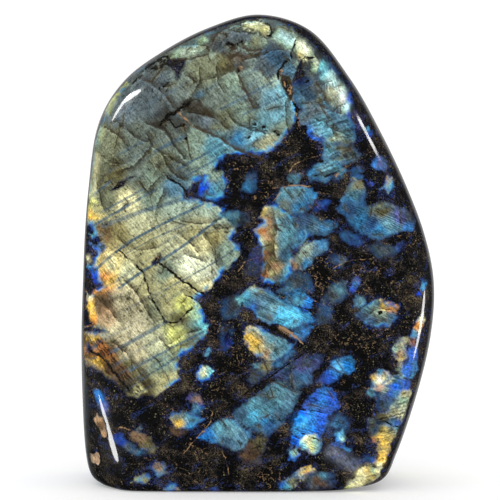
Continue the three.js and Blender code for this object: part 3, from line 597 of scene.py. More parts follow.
LOW_LEFT = (
    Patch(((-24.2, 20), (-23, 21.7), (-17, 21.3), (-14.8, 20), (-18, 17.2), (-20, 16.8), (-22, 17.4)),
        ((-17.4, 19.6, RIVER), (-21.4, 18.7, GOLD), (-22, 20.4, LICHEN), (-19.4, 20, LAGOON),
        (-18.6, 18, STEEL)), soft=0.6, fringe=0.7, hatch=Hatch(-62, 0.6, 0.3)),
    Patch(((-18.2, 21.3), (-17.6, 24.7), (-15.8, 25.7), (-14.6, 23), (-15.6, 21)), ((-17, 23, SEA),
        (-15.4, 24, COBALT), (-16.4, 21.8, STEEL)), soft=0.8, glow=0.85),
    Patch(((-24.4, 17.6), (-21, 16.9), (-19.2, 16), (-21, 14.9), (-24, 16.2)), ((-22, 16.4, UMBER),),
        soft=1.0, glow=0.8, fringe=0.0),
    Patch(((-19.6, 25.2), (-18.4, 27), (-16.4, 26.4), (-15.8, 24.8), (-18, 24.6)), ((-17.4, 25.6, TAN),
        (-18.6, 26, VIOLET)), soft=0.8, glow=0.6),
    Patch(((-16.8, 32.5), (-15.8, 34.4), (-13.4, 34.2), (-11.6, 32.3), (-13.5, 30.5), (-15.6, 29.1),
        (-16.4, 30.5)), ((-15, 32.2, BUTTER), (-13, 32.2, AQUA), (-14.6, 31, SAGE)), soft=0.4, fringe=1.0),
    Patch(((-14.7, 37.2), (-13.8, 39.2), (-12.8, 38.2), (-13.8, 36.4)), ((-13.8, 38, TEAL),), soft=0.5),
    Patch(((-34.8, 15.5), (-32.5, 16.8), (-30, 14.6), (-27.2, 12), (-29, 10.6), (-31.6, 12)),
        ((-32.6, 15.4, TAN), (-29.4, 12.2, KHAKI)), soft=0.9, glow=0.6, fringe=0.0),
    Patch(((-33.5, 17), (-32.5, 18), (-31.3, 17.3), (-32.3, 16.7)), ((-32.4, 17.4, SLATE),), soft=0.3,
        glow=0.9),
    Patch(((-39.6, 15), (-37.4, 15.6), (-34, 12.2), (-30.8, 10.8), (-33, 9.8), (-36.6, 11.6)),
        ((-38, 14.4, COBALT), (-34.6, 11.4, SLATE), (-31.6, 10.6, STEEL)), soft=0.8, glow=0.85),
    Patch(((-45.2, 28), (-43.4, 27.6), (-41, 23.6), (-41.2, 20.6), (-43.6, 23.4)), ((-43.8, 26, AZURE),
        (-42, 23, COBALT)), soft=0.9, glow=0.7),
    Patch(((-35.2, 2.5), (-33, 4), (-30.5, 4.8), (-28.8, 3.8), (-31, 2.3)), ((-33, 3.2, LIME),
        (-30.4, 3.8, STRAW)), soft=0.5, glow=0.8, fringe=0.8),
    Patch(((-29.2, 6.3), (-28, 8.2), (-25.5, 7.5), (-24.4, 5.2), (-27, 3.5), (-28.5, 5)), ((-27, 6.2, TAN),
        (-26.4, 5, PEWTER)), soft=0.7, glow=0.75, fringe=0.7),
    Patch(((-25.8, 0.6), (-24, 2.6), (-22.5, 2.2), (-21.4, 0.3)), ((-24, 1.4, MIST), (-22.8, 1, TAN)),
        soft=0.5, glow=0.9, fringe=0.8),
    Patch(((-14, 0.2), (-13, 1.4), (-11.4, 1.2), (-10.6, 0.2)), ((-12.6, 0.8, COBALT),), soft=0.5,
        glow=0.8),
)

PATCHES = (
    *PALE_FIELD, *FIELD_WASHES, *FIELD_GAPS, *TOP_RIGHT, *HEART_PATCHES, *LOW_PATCHES, *RIGHT_EDGE,
    *LOW_LEFT,
)

# painted glows: emission laid where the flash peaks, standing in for its highlights
PAINTED_GLOWS = (
    PaintedGlow(((19.6, 11), (21.6, 10), (23.6, 8.6), (26.6, 6.8)), 2.0, HAZE, 0.35),
    PaintedGlow(((20.6, 10.6), (22, 9.6)), 1.0, BEIGE, 0.25),
    PaintedGlow(((26.2, 103.4), (28, 100)), 1.2, VIOLET, 0.2),
    PaintedGlow(((-3.4, 127.1), (-0.6, 127.1), (2.2, 126)), 1.1, LIME, 0.5),
    PaintedGlow(((4.6, 124.2), (6.6, 123.6), (9, 122)), 0.9, ICE, 0.42),
    PaintedGlow(((10.8, 121.4), (12.2, 120.6), (13.8, 119.6)), 1.0, PEARL, 0.5),
    PaintedGlow(((15.7, 117.4), (15.4, 116)), 0.9, LEAF, 0.35),
    PaintedGlow(((17.4, 115.8), (18.6, 115.4)), 0.8, AQUA, 0.4),
    PaintedGlow(((19, 113.6), (20.3, 112.2), (21, 111.2)), 1.2, ICE, 0.7),
    PaintedGlow(((22.4, 110), (23.1, 108.4), (23.3, 106.8)), 0.9, SNOW, 0.6),
    PaintedGlow(((24, 105.6), (24, 104.2)), 1.2, ICE, 0.55),
    PaintedGlow(((19.4, 109.6), (20.4, 108.2)), 1.6, BUTTER, 0.25),
    PaintedGlow(((25, 108.4), (25.2, 106.2)), 0.5, GLINT, 0.7),
    PaintedGlow(((24.2, 103.4), (24.9, 102.2)), 0.5, GLINT, 0.7),
    PaintedGlow(((12.4, 14.2), (13.4, 12.8), (15, 12)), 1.0, PEARL, 0.2),
    PaintedGlow(((32.6, 30), (34.2, 30.8)), 0.9, BUTTER, 0.25),
    PaintedGlow(((27.4, 5.4), (29.6, 4.4)), 1.8, BUTTER, 0.4),
    PaintedGlow(((25, 1.8), (28, 2)), 1.2, BUTTER, 0.3),
    PaintedGlow(((33.8, 8), (34.2, 12)), 1.1, GOLD, 0.4),
    PaintedGlow(((22.3, 14.8), (22.5, 14.6)), 0.8, ICE, 0.25),
    PaintedGlow(((21.4, 34), (23, 35)), 1.6, AZURE, 0.3),
    PaintedGlow(((11.2, 20), (12.4, 17)), 2.2, AZURE, 0.25),
    PaintedGlow(((-21.6, 51.4), (-18.6, 50.4)), 2.6, LIME, 0.3),
    PaintedGlow(((-23.4, 43.6), (-20.4, 43)), 1.8, LIME, 0.35),
    PaintedGlow(((-39.2, 107.3), (-41, 103.6)), 0.8, LIME, 0.5),
    PaintedGlow(((-42.3, 99.8), (-43.2, 96)), 0.8, LIME, 0.25),
    PaintedGlow(((-43.9, 92), (-44.5, 87), (-45.2, 79.4)), 0.9, BUTTER, 0.5),
    PaintedGlow(((-46, 53), (-45.4, 49.6), (-45, 47)), 0.7, GOLD, 0.36),
    PaintedGlow(((-45.6, 77.4), (-45.8, 74.8)), 0.6, GOLD, 0.3),
    PaintedGlow(((-41.6, 62.4), (-39, 61.4)), 1.6, BUTTER, 0.35),
    PaintedGlow(((10.2, 52.2), (12.2, 51.4)), 1.2, SKY, 0.35),
    PaintedGlow(((7, 49.4), (10.6, 47.8)), 1.6, SKY, 0.2),
    PaintedGlow(((-46.4, 64.4), (-46, 62.8)), 0.6, BUTTER, 0.5),
    PaintedGlow(((-42.2, 23.6), (-41.8, 22.4)), 1.0, HAZE, 0.4),
)

CRACKS = (
    *cracks(Seam.BLACK, 1.7, ((-27, 100), (-24.5, 102.4), (-21, 104.8), (-18.4, 106.6))),
    *cracks(Seam.BLACK, 1.2, ((33, 49), (33.6, 48.8))),
    *cracks(Seam.BLACK, 1.1, ((9.6, 106.6), (10.6, 104), (10.8, 100.6), (9.6, 98))),
    *cracks(Seam.BLACK, 0.9, ((-30.5, 115.6), (-28.4, 117.2), (-26, 118.6), (-24, 118.2)),
        ((0, 46), (4, 44.6), (8, 42)), ((7.8, 117.8), (6.8, 116.2), (5.8, 115), (5.5, 112.8))),
    *cracks(Seam.BLACK, 0.8, ((-29, 115.4), (-26.6, 115.8), (-25.4, 117), (-23, 116.6)),
        ((-8.4, 122.4), (-6, 122), (-4.2, 122.7)), ((-27, 62.8), (-22.5, 59), (-17, 55), (-15, 54))),
    *cracks(Seam.BLACK, 0.7, ((-28.6, 109.4), (-26.4, 110.4), (-24.6, 111.4)),
        ((-24, 101.6), (-22.8, 99.6), (-20, 100)), ((3, 127.4), (3.8, 125.4), (2.6, 124)),
        ((-25, 86), (-21, 83.5), (-19.5, 81)), ((-46, 38.6), (-42, 36), (-38.5, 31.4), (-35, 27.5))),
    *cracks(Seam.BLACK, 0.6, ((-26.6, 118), (-27, 116)), ((-5.9, 116.6), (-5.2, 114.8)),
        ((-5, 128), (-2, 128.7), (0.8, 128.4), (3.4, 127)),
        ((12, 118), (13, 118.8), (14, 118.2), (15, 118.6)),
        ((-37.5, 65.5), (-31.5, 60), (-31, 58), (-28, 51), (-26, 47.5),
        (-25, 46.3), (-22, 46.5), (-17.5, 50.5)), ((-21, 54.8), (-17, 52.3))),
    *cracks(Seam.BLACK, 0.5, ((-34, 111.5), (-31.5, 115)),
        ((10.3, 123.6), (9.6, 121.6), (9, 120.4), (9.2, 118.6)), ((-10, 22), (0, 29), (10, 36), (15, 40)),
        ((11.6, 22.6), (14.4, 22), (19.8, 21.5)), ((34.6, 19.2), (36.6, 18.2), (38.8, 17.2))),
    *cracks(Seam.BLACK, 0.4, ((15.4, 86.2), (19, 86.4), (22.4, 87.6)),
        ((10.2, 16.9), (13, 15.6), (16.4, 14)), ((8.4, 52.2), (11, 50.4), (14.4, 49.6))),
    *cracks(Seam.BLACK, 0.35, ((9.2, 15.6), (11.6, 14.2))),
    *cracks(Seam.OLIVE, 0.8, ((-30.5, 100.8), (-28, 100.4), (-26, 100.6)),
        ((-30, 100.3), (-26.6, 99.4), (-24.6, 97.6), (-22.4, 94), (-20, 91))),
    *cracks(Seam.OLIVE, 0.7, ((-20, 106.2), (-17.6, 107), (-15.6, 106.6)),
        ((-26.5, 92.5), (-24, 88), (-20, 85)),
        ((-8.4, 103.6), (-7, 101.6), (-5, 100.2), (-2, 99), (2, 98))),
    *cracks(Seam.OLIVE, 0.6, ((-19, 103.5), (-14, 102.8), (-11, 101.6), (-8.6, 99)),
        ((-30.4, 97.6), (-29.2, 95), (-31, 92), (-34, 89), (-38, 87.5)),
        ((-29.5, 94.6), (-26, 92.5), (-20, 89)), ((-36.5, 57.5), (-34, 55.5), (-30.5, 50), (-28.5, 46)),
        ((-12, 72), (-6, 72))),
    *cracks(Seam.OLIVE, 0.5, ((-16, 115.6), (-16, 111.6), (-17.6, 109), (-19, 106.6)),
        ((-19.6, 113.6), (-16.8, 112), (-11, 113.6), (-7, 114.6)),
        ((-11.4, 116), (-10.8, 112), (-9.4, 109.4)), ((-35.6, 99), (-33.4, 96.8), (-30, 95.4)),
        ((-42.6, 91.6), (-39, 89.6), (-36, 89.8)),
        ((-3.6, 118), (-1, 118.6), (1.4, 119.2), (4.2, 120.6), (6.6, 120.8)),
        ((8, 108), (7.6, 104), (8.2, 98.6)), ((-20, 65), (-14.8, 62.8)),
        ((-24, 40.4), (-20, 43), (-16, 44.4))),
    *cracks(Seam.OLIVE, 0.45, ((-8, 126), (-4, 125.6), (0, 124.8), (3, 123.8)),
        ((17, 105.6), (18.6, 108.2)), ((-44, 84.4), (-43, 80), (-42, 77)), ((-27, 85.5), (-30, 82)),
        ((-25.5, 82.5), (-28, 77))),
    *cracks(Seam.OLIVE, 0.4, ((-5, 127.4), (-2, 126.4), (0.6, 125.4)),
        ((19.2, 99.6), (22, 98.4), (25.6, 97)), ((-43.5, 52.5), (-40, 49), (-38, 46.5)),
        ((-14.8, 70), (-12, 66.2), (-11.4, 62)), ((-21, 74), (-15, 73.2), (-11, 74)),
        ((-27, 42), (-23.4, 37.6))),
    *cracks(Seam.OLIVE, 0.35, ((-20, 122), (-16, 122), (-13, 121.6)),
        ((15, 101.6), (17.6, 101.2), (19.6, 99.6), (21, 97)), ((-38, 68.6), (-33, 66), (-28, 66.6)),
        ((29.6, 47.6), (32, 49.8), (36, 49.6))),
    *cracks(Seam.BROWN, 0.8, ((-17.8, 99.8), (-14, 98.2), (-10, 96.2), (-7.4, 94.4), (-3.6, 92.6), (1, 91)),
        ((-5.8, 114.8), (-4.8, 112.6), (-4, 110.4), (-2.8, 108), (-1.2, 105)),
        ((-4.4, 121), (-1.6, 120.5), (1, 120.6))),
    *cracks(Seam.BROWN, 0.6, ((-16.5, 106.4), (-14.6, 104.4), (-12.6, 102.6)),
        ((-13.6, 120.2), (-12.6, 122.4), (-11, 125), (-8.8, 126.6), (-5, 127.9), (-2, 128.8)),
        ((-7.4, 118.2), (-6, 119), (-4.6, 118.6))),
    *cracks(Seam.BROWN, 0.5, ((-32.5, 113), (-29.6, 111.6), (-27.5, 110)),
        ((-27.5, 110), (-25, 107.8), (-23.4, 105.6), (-22, 104)), ((-43, 100), (-38, 97.2), (-36.5, 95)),
        ((-7, 120.6), (-5, 121.2), (-4, 122)), ((-24, 118.2), (-20, 118), (-17, 118.6), (-14, 119.2)),
        ((-22, 70.5), (-18.5, 68), (-16.5, 65.5)), ((1, 57), (2.2, 60.4), (1.6, 63)),
        ((4.6, 64), (4.2, 68), (5, 72), (4.4, 76))),
    *cracks(Seam.BROWN, 0.45, ((17, 105.4), (20.4, 103.8), (22.6, 103.2)),
        ((20.8, 104), (22, 105.2), (23.6, 106)), ((-40, 41), (-36, 37.8), (-32, 32.4), (-29, 28.6))),
    *cracks(Seam.BROWN, 0.3, ((16.8, 110.8), (19.6, 112), (22, 113)),
        ((16.6, 108.8), (19.4, 110), (22.6, 111)), ((-8, 35), (-3, 33), (0, 31.5), (5, 29.5), (11, 26.8))),
    *cracks(Seam.GOLDEN, 0.8, ((6, 45), (9, 43.2), (12.2, 40.3))),
    *cracks(Seam.GOLDEN, 0.6, ((-21.5, 103.2), (-19.6, 101.6), (-17.8, 99.8)),
        ((21.2, 86), (23, 88.2), (25.4, 89.6))),
    *cracks(Seam.GOLDEN, 0.5, ((-5.9, 118), (-5.3, 116.9))),
    *cracks(Seam.GOLDEN, 0.4, ((-4.8, 116), (-3.9, 115.5))),
    *cracks(Seam.GOLDEN, 0.35, ((4.5, 79.6), (8, 83.4), (14, 83.4))),
    *cracks(Seam.GOLDEN, 0.28, ((8, 86.8), (11, 90), (16, 91.4))),
    *cracks(Seam.GOLDEN, 0.25, ((-6, 60), (-3, 62.8), (0.6, 64))),
    *cracks(Seam.GOLDEN, 0.22, ((-38, 17.5), (-35, 16.8))),
    *cracks(Seam.GOLDEN, 0.2, ((-20.4, 10.5), (-18.6, 12.4), (-16, 15.5), (-13.4, 18.4), (-12.4, 21.6))),
    *cracks(Seam.GOLDEN, 0.18, ((-10, 11), (-8.7, 8), (-8, 5)), ((20, 60.5), (25, 63), (31, 63.4))),
    *specks(Seam.BLACK, 0.9, (0.5, 0.2), (-1.3, 100.2), (1.3, 99.2), (-2.8, 96.6), (5.4, 97.3), (4.4, 98.3),
        (-20, 96.2), (17, 90), (13.2, 112)),
    *specks(Seam.GOLDEN, 0.5, (0.4, -0.8), (6.6, 115), (5.9, 113), (8.4, 109.6), (9.5, 107.4), (8.9, 110.8),
        (7, 111.8), (10.6, 103), (10.9, 101)),
)

RIBBONS = (
    Ribbon(((-45.5, 80.5), (-40.5, 84.5)), 0.7, 0.6),
    Ribbon(((-42.5, 76.5), (-31.5, 82.5)), 0.7, 0.6),
    Ribbon(((-45, 72.5), (-40, 75.5), (-28, 82.5)), 0.8, 0.7),
    Ribbon(((-42, 72.5), (-33, 76), (-20, 80)), 1.2, 0.55),
    Ribbon(((-44.5, 60.5), (-38, 66), (-30, 71), (-15, 78.5)), 0.8, 0.8),
    Ribbon(((-38, 55.5), (-31, 60.5), (-22, 66), (-10, 75)), 0.8, 0.8),
    Ribbon(((-25, 55.3), (-12, 62.5), (-6, 66.5)), 0.5, 0.6),
    Ribbon(((-36, 65), (-28, 69.4), (-20, 72.6)), 0.4, 0.5),
    Ribbon(((-40, 38), (-30, 43.5), (-25, 46.5)), 1.2, 0.65),
    Ribbon(((-35, 33), (-25, 38.5), (-15, 43.5)), 0.7, 0.65),
    Ribbon(((-32, 30.5), (-20, 38)), 0.6, 0.6),
    Ribbon(((-28, 93), (-20, 97)), 1.0, 0.6),
    Ribbon(((-22, 88), (-14, 92.4), (-7, 97)), 0.8, 0.7),
    Ribbon(((-20, 86), (-9, 92)), 0.6, 0.6),
    Ribbon(((-10, 104.5), (5, 112.3)), 0.8, 0.6),
    Ribbon(((-4, 103), (8, 108.5)), 0.6, 0.55),
    Ribbon(((-38, 92), (-30, 96.4)), 0.6, 0.45),
)

HOLLOWS = (
    Patch(((-44.8, 19.5), (-43.6, 21.4), (-42.6, 19.8), (-42, 17.4), (-41.4, 15), (-42.2, 14.4),
        (-43.6, 16.8)), ((-43.6, 20, TAN), (-43, 18, UMBER), (-42, 15.6, TAN))),
    Patch(((-46.2, 10.6), (-44, 10.6), (-42.7, 8.5), (-44, 6.9), (-45.6, 8.4)), ((-44.6, 9, TAN),)),
    Patch(((5.4, 115), (7.4, 113.8), (9.2, 112.8), (9.6, 109.6), (9.8, 107), (8.4, 106.6), (7.4, 109),
        (6, 111.6)), ((8, 110.6, SOOT), (7, 113, PEAT), (9, 108, PEAT), (7.6, 111.6, SOOT), (8.6, 112, BOG),
        (8, 109.4, COAL))),
    Patch(((-8.4, 115.6), (-7.6, 117.4), (-6, 117.2), (-5, 117.6), (-4, 115.8), (-5.4, 115.6), (-7, 116)),
        ((-7, 116.8, LOAM), (-5.6, 116.6, PEAT), (-4.6, 116.2, BOG), (-6.4, 116.2, SOOT))),
)


# ---- Helpers for fields ----


def fade(value: Array, start: float | Array, end: float | Array) -> Array:
    """A soft step from 0 to 1.

    Args:
        value: the field that is stepped.
        start: its level where the step begins.
        end: its level where the step is done.

    Returns:
        The step.
    """
    share = np.clip((value - start) / (end - start), 0.0, 1.0)
    return share * share * (3 - 2 * share)


def blend(under: Array, over: Array | float, share: Array) -> Array:
    """Lay one field over another.

    Args:
        under: the field below.
        over: the field or the level above.
        share: how much of the upper one shows, 0 to 1.

    Returns:
        The mixed field.
    """
    if under.ndim > share.ndim:
        share = share[:, None]
    return under + (over - under) * share


def border(grid: Array) -> Array:
    """The outermost entries of a grid, anticlockwise from its lower left corner."""
    return np.concatenate([grid[0, :-1], grid[:-1, -1], grid[-1, :0:-1], grid[:0:-1, 0]])


@dataclass(frozen=True)
class Ripples:
    """A smooth seeded field: plane waves in all directions around one wavelength.

    Attributes:
        size: the typical wavelength in millimetres.
        seed: which field of the many with this size.
        waves: how many plane waves are summed.
        calm: what brings their sum down to about -1 to 1.
    """

    size: float
    seed: int
    waves: int = 28
    calm: float = 0.7

    def at(self, spots: Array) -> Array:
        """The field at some spots.

        Args:
            spots: rows of two or three coordinates in millimetres.

        Returns:
            Its level at each, about -1 to 1.
        """
        rng = np.random.default_rng(self.seed)
        total = np.zeros(len(spots))
        for _ in range(self.waves):
            course = rng.normal(size=spots.shape[1])
            course *= rng.uniform(0.6, 1.5) * 2 * math.pi / (self.size * np.linalg.norm(course))
            total += np.sin(spots @ course + rng.uniform(0, 2 * math.pi))
        return total * math.sqrt(2 / self.waves) * self.calm


def inside_distance(spots: Array, outline: tuple[Spot, ...]) -> Array:
    """How deep each spot lies inside a closed outline, negative outside.

    Args:
        spots: one row per spot, across and up, in millimetres.
        outline: the corners of the outline.

    Returns:
        The distance to the nearest edge, with its sign.
    """
    corners = np.array(outline, float)
    nearest = np.full(len(spots), np.inf)
    inside = np.zeros(len(spots), bool)
    for start, end in zip(corners, np.roll(corners, -1, axis=0)):
        edge = end - start
        away = spots - start
        share = np.clip(away @ edge / (edge @ edge), 0.0, 1.0)
        nearest = np.minimum(nearest, np.hypot(*(away - share[:, None] * edge).T))
        crosses = (start[1] > spots[:, 1]) != (end[1] > spots[:, 1])
        rise = edge[1] or 1e-9
        inside ^= crosses & (spots[:, 0] < start[0] + (spots[:, 1] - start[1]) * edge[0] / rise)
    return np.where(inside, nearest, -nearest)


@dataclass(frozen=True)
class Course:
    """A smooth line through a few places on the face."""

    places: tuple[Spot, ...]
    steps: int = 7

    def chords(self) -> Array:
        """Cut the line into short straight chords.

        Returns:
            The chords' ends in order.
        """
        points = np.array(self.places, float)
        if len(points) == 2:
            return points
        padded = np.vstack([2 * points[0] - points[1], points, 2 * points[-1] - points[-2]])
        share = (np.arange(1, self.steps + 1) / self.steps)[:, None]
        line = [points[:1]]
        for before, start, end, after in zip(padded, padded[1:], padded[2:], padded[3:]):
            square = (2 * before - 5 * start + 4 * end - after) * share**2
            cube = (3 * start - before - 3 * end + after) * share**3
            line.append(0.5 * (2 * start + (end - before) * share + square + cube))
        return np.vstack(line)

    def beside(self, spots: Array) -> tuple[Array, Array]:
        """How far each spot lies to the left of the line, and how far past its ends.

        Args:
            spots: one row per spot, across and up, in millimetres.

        Returns:
            The signed distance to the line, and the distance past its nearer end, 0 between them.
        """
        chords = self.chords()
        best = np.full(len(spots), np.inf)
        side = np.zeros(len(spots))
        past = np.zeros(len(spots))
        last = len(chords) - 2
        for index, (start, end) in enumerate(zip(chords, chords[1:])):
            run = end - start
            length = float(np.hypot(*run))
            away = spots - start
            along = away @ run / length
            across = (run[0] * away[:, 1] - run[1] * away[:, 0]) / length
            short, long = np.maximum(-along, 0), np.maximum(along - length, 0)
            gone = np.hypot(across, short + long)
            nearer = gone < best
            best = np.where(nearer, gone, best)
            side = np.where(nearer, np.where(across < 0, -gone, gone), side)
            past = np.where(nearer, short * (index == 0) + long * (index == last), past)
        return side, past


# ---- The shape of the skin ----


@dataclass(frozen=True)
class Bound:
    """The stone's rim, a closed curve: places across and up, each with its shoulder's width."""

    places: tuple[Place, ...] = (
        # the foot, then up the right side
        (-46.8, 3.3, 3.5), (-43.8, 0.9, 2.6), (-38, 0, 1.8), (-14, 0, 1.8), (10, 0, 1.8), (25, 0.6, 2.2),
        (34.1, 2.9, 4.5), (37.8, 9.5, 7), (43, 24, 8.5), (47.3, 42, 8.5), (48, 57, 8), (45.5, 69.5, 8.5),
        # over the top, then down the left side
        (40.3, 83.5, 9.5), (33, 98.6, 10.5), (24.9, 112.6, 10.5), (13.6, 126, 9.5), (0, 130, 9.5),
        (-13.8, 126.5, 11), (-26.4, 120.2, 13), (-37.3, 112.1, 14), (-44.1, 100.9, 12), (-46.9, 82, 6.5),
        (-48.4, 57, 6), (-48.9, 27, 5.5),
    )

    def at(self, share: Array) -> Array:
        """The rim at each share of the way round.

        Args:
            share: 0 to 1, from the foot's left corner, anticlockwise seen from the front.

        Returns:
            Rows of x, z and shoulder width.
        """
        points = np.array(self.places, float)
        place = share * len(points)
        index = np.floor(place).astype(int) % len(points)
        part = (place - np.floor(place))[:, None]
        before, start, end, after = (points[(index + step) % len(points)] for step in (-1, 0, 1, 2))
        first, middle, last = (
            np.sqrt(np.linalg.norm(near - far, axis=1))[:, None]
            for near, far in ((start, before), (start, end), (end, after))
        )
        leave = ((start - before) / first - (end - before) / (first + middle)) * middle + (end - start)
        reach = ((after - end) / last - (after - start) / (middle + last)) * middle + (end - start)
        bend = -3 * start + 3 * end - 2 * leave - reach
        curve = 2 * start - 2 * end + leave + reach
        rim = start + leave * part + bend * part**2 + curve * part**3
        rim[:, 1] = np.maximum(rim[:, 1], 0)
        return rim


@dataclass
class Skin:
    """The stone's outer surface: points, faces and which way each point looks.

    Attributes:
        across: cells across the front face, an even number.
        up: cells up the front face, an even number.
        arcs: rows on the front shoulder and on the back one.
        sides: rows on the straight side.
        bound: the rim curve.
        height: how tall the stone is, in millimetres like all its sizes.
        depths: how far the front and the back stand from the rim's plane, at the foot.
        taper: how much thinner the stone gets towards its top.
        crowns: how far the middle of the front and of the back stand proud.
        swell: how much fuller the back is low down.
        softness: how much wider than the rim says the front and the back shoulders are.
        shoulder_depth: how deep a shoulder is for its width.
        corner: a place on the edge where the lower left corner is ground away.
        corner_lean: how far that edge leans to the right on its way down.
        corner_slope: how steeply the ground part falls away from the face.
        corner_soft: how softly that edge is rounded.
        heart: the place on the face the crowns and shoulders look to.
        reach: how far from the heart, across and up, the crowns die out.
        wave: the height of the hand-polished waviness.
    """

    across: int = 200
    up: int = 266
    arcs: tuple[int, int] = (16, 10)
    sides: int = 8
    bound: Bound = Bound()
    height: float = 130.0
    depths: Spot = (19.0, 18.0)
    taper: float = 0.36
    crowns: Spot = (2.2, 4.0)
    swell: float = 2.5
    softness: Spot = (1.0, 1.6)
    shoulder_depth: float = 1.25
    corner: Spot = (-43.4, 26.0)
    corner_lean: float = 0.27
    corner_slope: float = 0.95
    corner_soft: float = 2.6
    heart: Spot = (-3.0, 62.0)
    reach: Spot = (50.0, 68.0)
    wave: float = 0.03
    points: Array = field(init=False)
    normals: Array = field(init=False)
    faces: list[tuple[int, ...]] = field(init=False, default_factory=list)
    _rows: list[Array] = field(init=False, default_factory=list)

    def __post_init__(self) -> None:
        """Lay out the front face, its shoulder, the side, the back shoulder and the back face."""
        front = self._squares(self.across, self.up)
        back = self._squares(self.across // 2, self.up // 2)
        ring, coarse = border(front), border(back)
        last = self._cap(front, behind=0)
        for row in range(1, self.arcs[0] + 1):
            last = self._loop(last, self._arc(ring, 1 - row / self.arcs[0], behind=0))
        for row in range(1, self.sides + 1):
            last = self._loop(last, self._band(coarse, row / self.sides))
        for row in range(1, self.arcs[1] + 1):
            last = self._loop(last, self._arc(coarse, row / self.arcs[1], behind=1))
        first = len(self.faces)
        meet = dict(zip(self._cap(back, behind=1).tolist(), last.tolist()))
        behind = self.faces[first:]
        self.faces[first:] = [tuple(meet.get(corner, corner) for corner in face) for face in behind]
        self.points = np.vstack(self._rows)
        self._settle()

    @staticmethod
    def _squares(across: int, up: int) -> Array:
        """Places on the unit square, in rows from the foot up."""
        return np.stack(np.meshgrid(np.linspace(-1, 1, across + 1), np.linspace(-1, 1, up + 1)), axis=-1)

    @staticmethod
    def _share(square: Array) -> Array:
        """How far round the rim each place on the unit square points.

        Args:
            square: places on the unit square.

        Returns:
            The share of the way round, 0 to 1.
        """
        size = np.maximum(np.abs(square).max(axis=1), 1e-9)
        u, v = (square / size[:, None]).T
        share = np.where(v <= -1 + 1e-9, (u + 1) / 8, (7 - v) / 8)
        share = np.where((u >= 1 - 1e-9) & (v > -1 + 1e-9), (v + 3) / 8, share)
        return np.where((v >= 1 - 1e-9) & (u < 1 - 1e-9), (5 - u) / 8, share)

    def _depth(self, x: Array, z: Array, behind: int) -> Array:
        """How far a broad face stands from the rim's plane.

        Args:
            x: places across, in millimetres.
            z: their heights.
            behind: 0 for the front, 1 for the back.

        Returns:
            The distance at each place.
        """
        taper = 1 - self.taper * np.clip(z / self.height, 0, 1) ** 1.7
        out = ((x - self.heart[0]) / self.reach[0]) ** 2 + ((z - self.heart[1]) / self.reach[1]) ** 2
        depth = self.depths[behind] * taper + self.crowns[behind] * (1 - out)
        if behind:
            return depth + self.swell * np.exp(-((x + 12) ** 2 + (z - 40) ** 2) / 36**2)
        beyond = self.corner[0] + (self.corner[1] - z) * self.corner_lean - x
        return depth - self.corner_slope * (beyond + np.hypot(beyond, self.corner_soft)) / 2

    def _surface(self, square: Array, inset: float, share: float, behind: int) -> Array:
        """Points on the skin.

        Args:
            square: places on the unit square.
            inset: how far in the shoulder has come, as a share of its width.
            share: how much of the shoulder's fall is still to come.
            behind: 0 for the front, 1 for the back.

        Returns:
            Rows of x, y, z in millimetres.
        """
        rim = self.bound.at(self._share(square))
        size = np.abs(square).max(axis=1)[:, None]
        heart = np.array(self.heart)
        width = rim[:, 2] * self.softness[behind]
        inwards = heart - rim[:, :2]
        inwards /= np.linalg.norm(inwards, axis=1)[:, None]
        spot = heart + (rim[:, :2] + inwards * (width * inset)[:, None] - heart) * size
        thick = self.depths[behind]
        fall = np.minimum(width * self.shoulder_depth, thick - 1) / thick
        y = (1 - fall * share) * self._depth(*spot.T, behind) * (1 if behind else -1)
        return np.column_stack([spot[:, 0], y, spot[:, 1]])

    def _add(self, row: Array) -> Array:
        """Add a row of points.

        Args:
            row: the points.

        Returns:
            Their numbers.
        """
        base = sum(map(len, self._rows))
        self._rows.append(row)
        return base + np.arange(len(row))

    def _cap(self, squares: Array, behind: int) -> Array:
        """Lay out one broad face as a grid.

        Args:
            squares: places on the unit square, row by row.
            behind: 0 for the front, 1 for the back.

        Returns:
            The numbers of the points on its border.
        """
        here = self._add(self._surface(squares.reshape(-1, 2), 1.0, 0.0, behind)).reshape(squares.shape[:2])
        corners = [here[:-1, :-1], here[:-1, 1:], here[1:, 1:], here[1:, :-1]]
        quads = np.stack(corners, axis=-1).reshape(-1, 4)
        self.faces.extend(map(tuple, (quads[:, ::-1] if behind else quads).tolist()))
        return border(here)

    def _arc(self, ring: Array, share: float, behind: int) -> Array:
        """One row of a shoulder, from the rim's edge at 0 to the face at 1."""
        angle = share * math.pi / 2
        return self._surface(ring, 1 - math.cos(angle), 1 - math.sin(angle), behind)

    def _band(self, ring: Array, share: float) -> Array:
        """One row of the straight side, from the front shoulder at 0 to the back one at 1."""
        front = self._arc(ring, 0.0, behind=0)
        return front + (self._arc(ring, 0.0, behind=1) - front) * share

    def _loop(self, last: Array, row: Array) -> Array:
        """Add one row round the stone and join it to the row before.

        Args:
            last: the numbers of the row before.
            row: the new points, as many or half as many.

        Returns:
            The numbers of the new row.
        """
        here = self._add(row)
        after = np.roll(here, -1)
        if len(last) == len(here):
            corners = (last, here, after, np.roll(last, -1))
        else:
            corners = (last[::2], here, after, np.roll(last, -2)[::2], last[1::2])
        self.faces.extend(zip(*(corner.tolist() for corner in corners)))
        return here

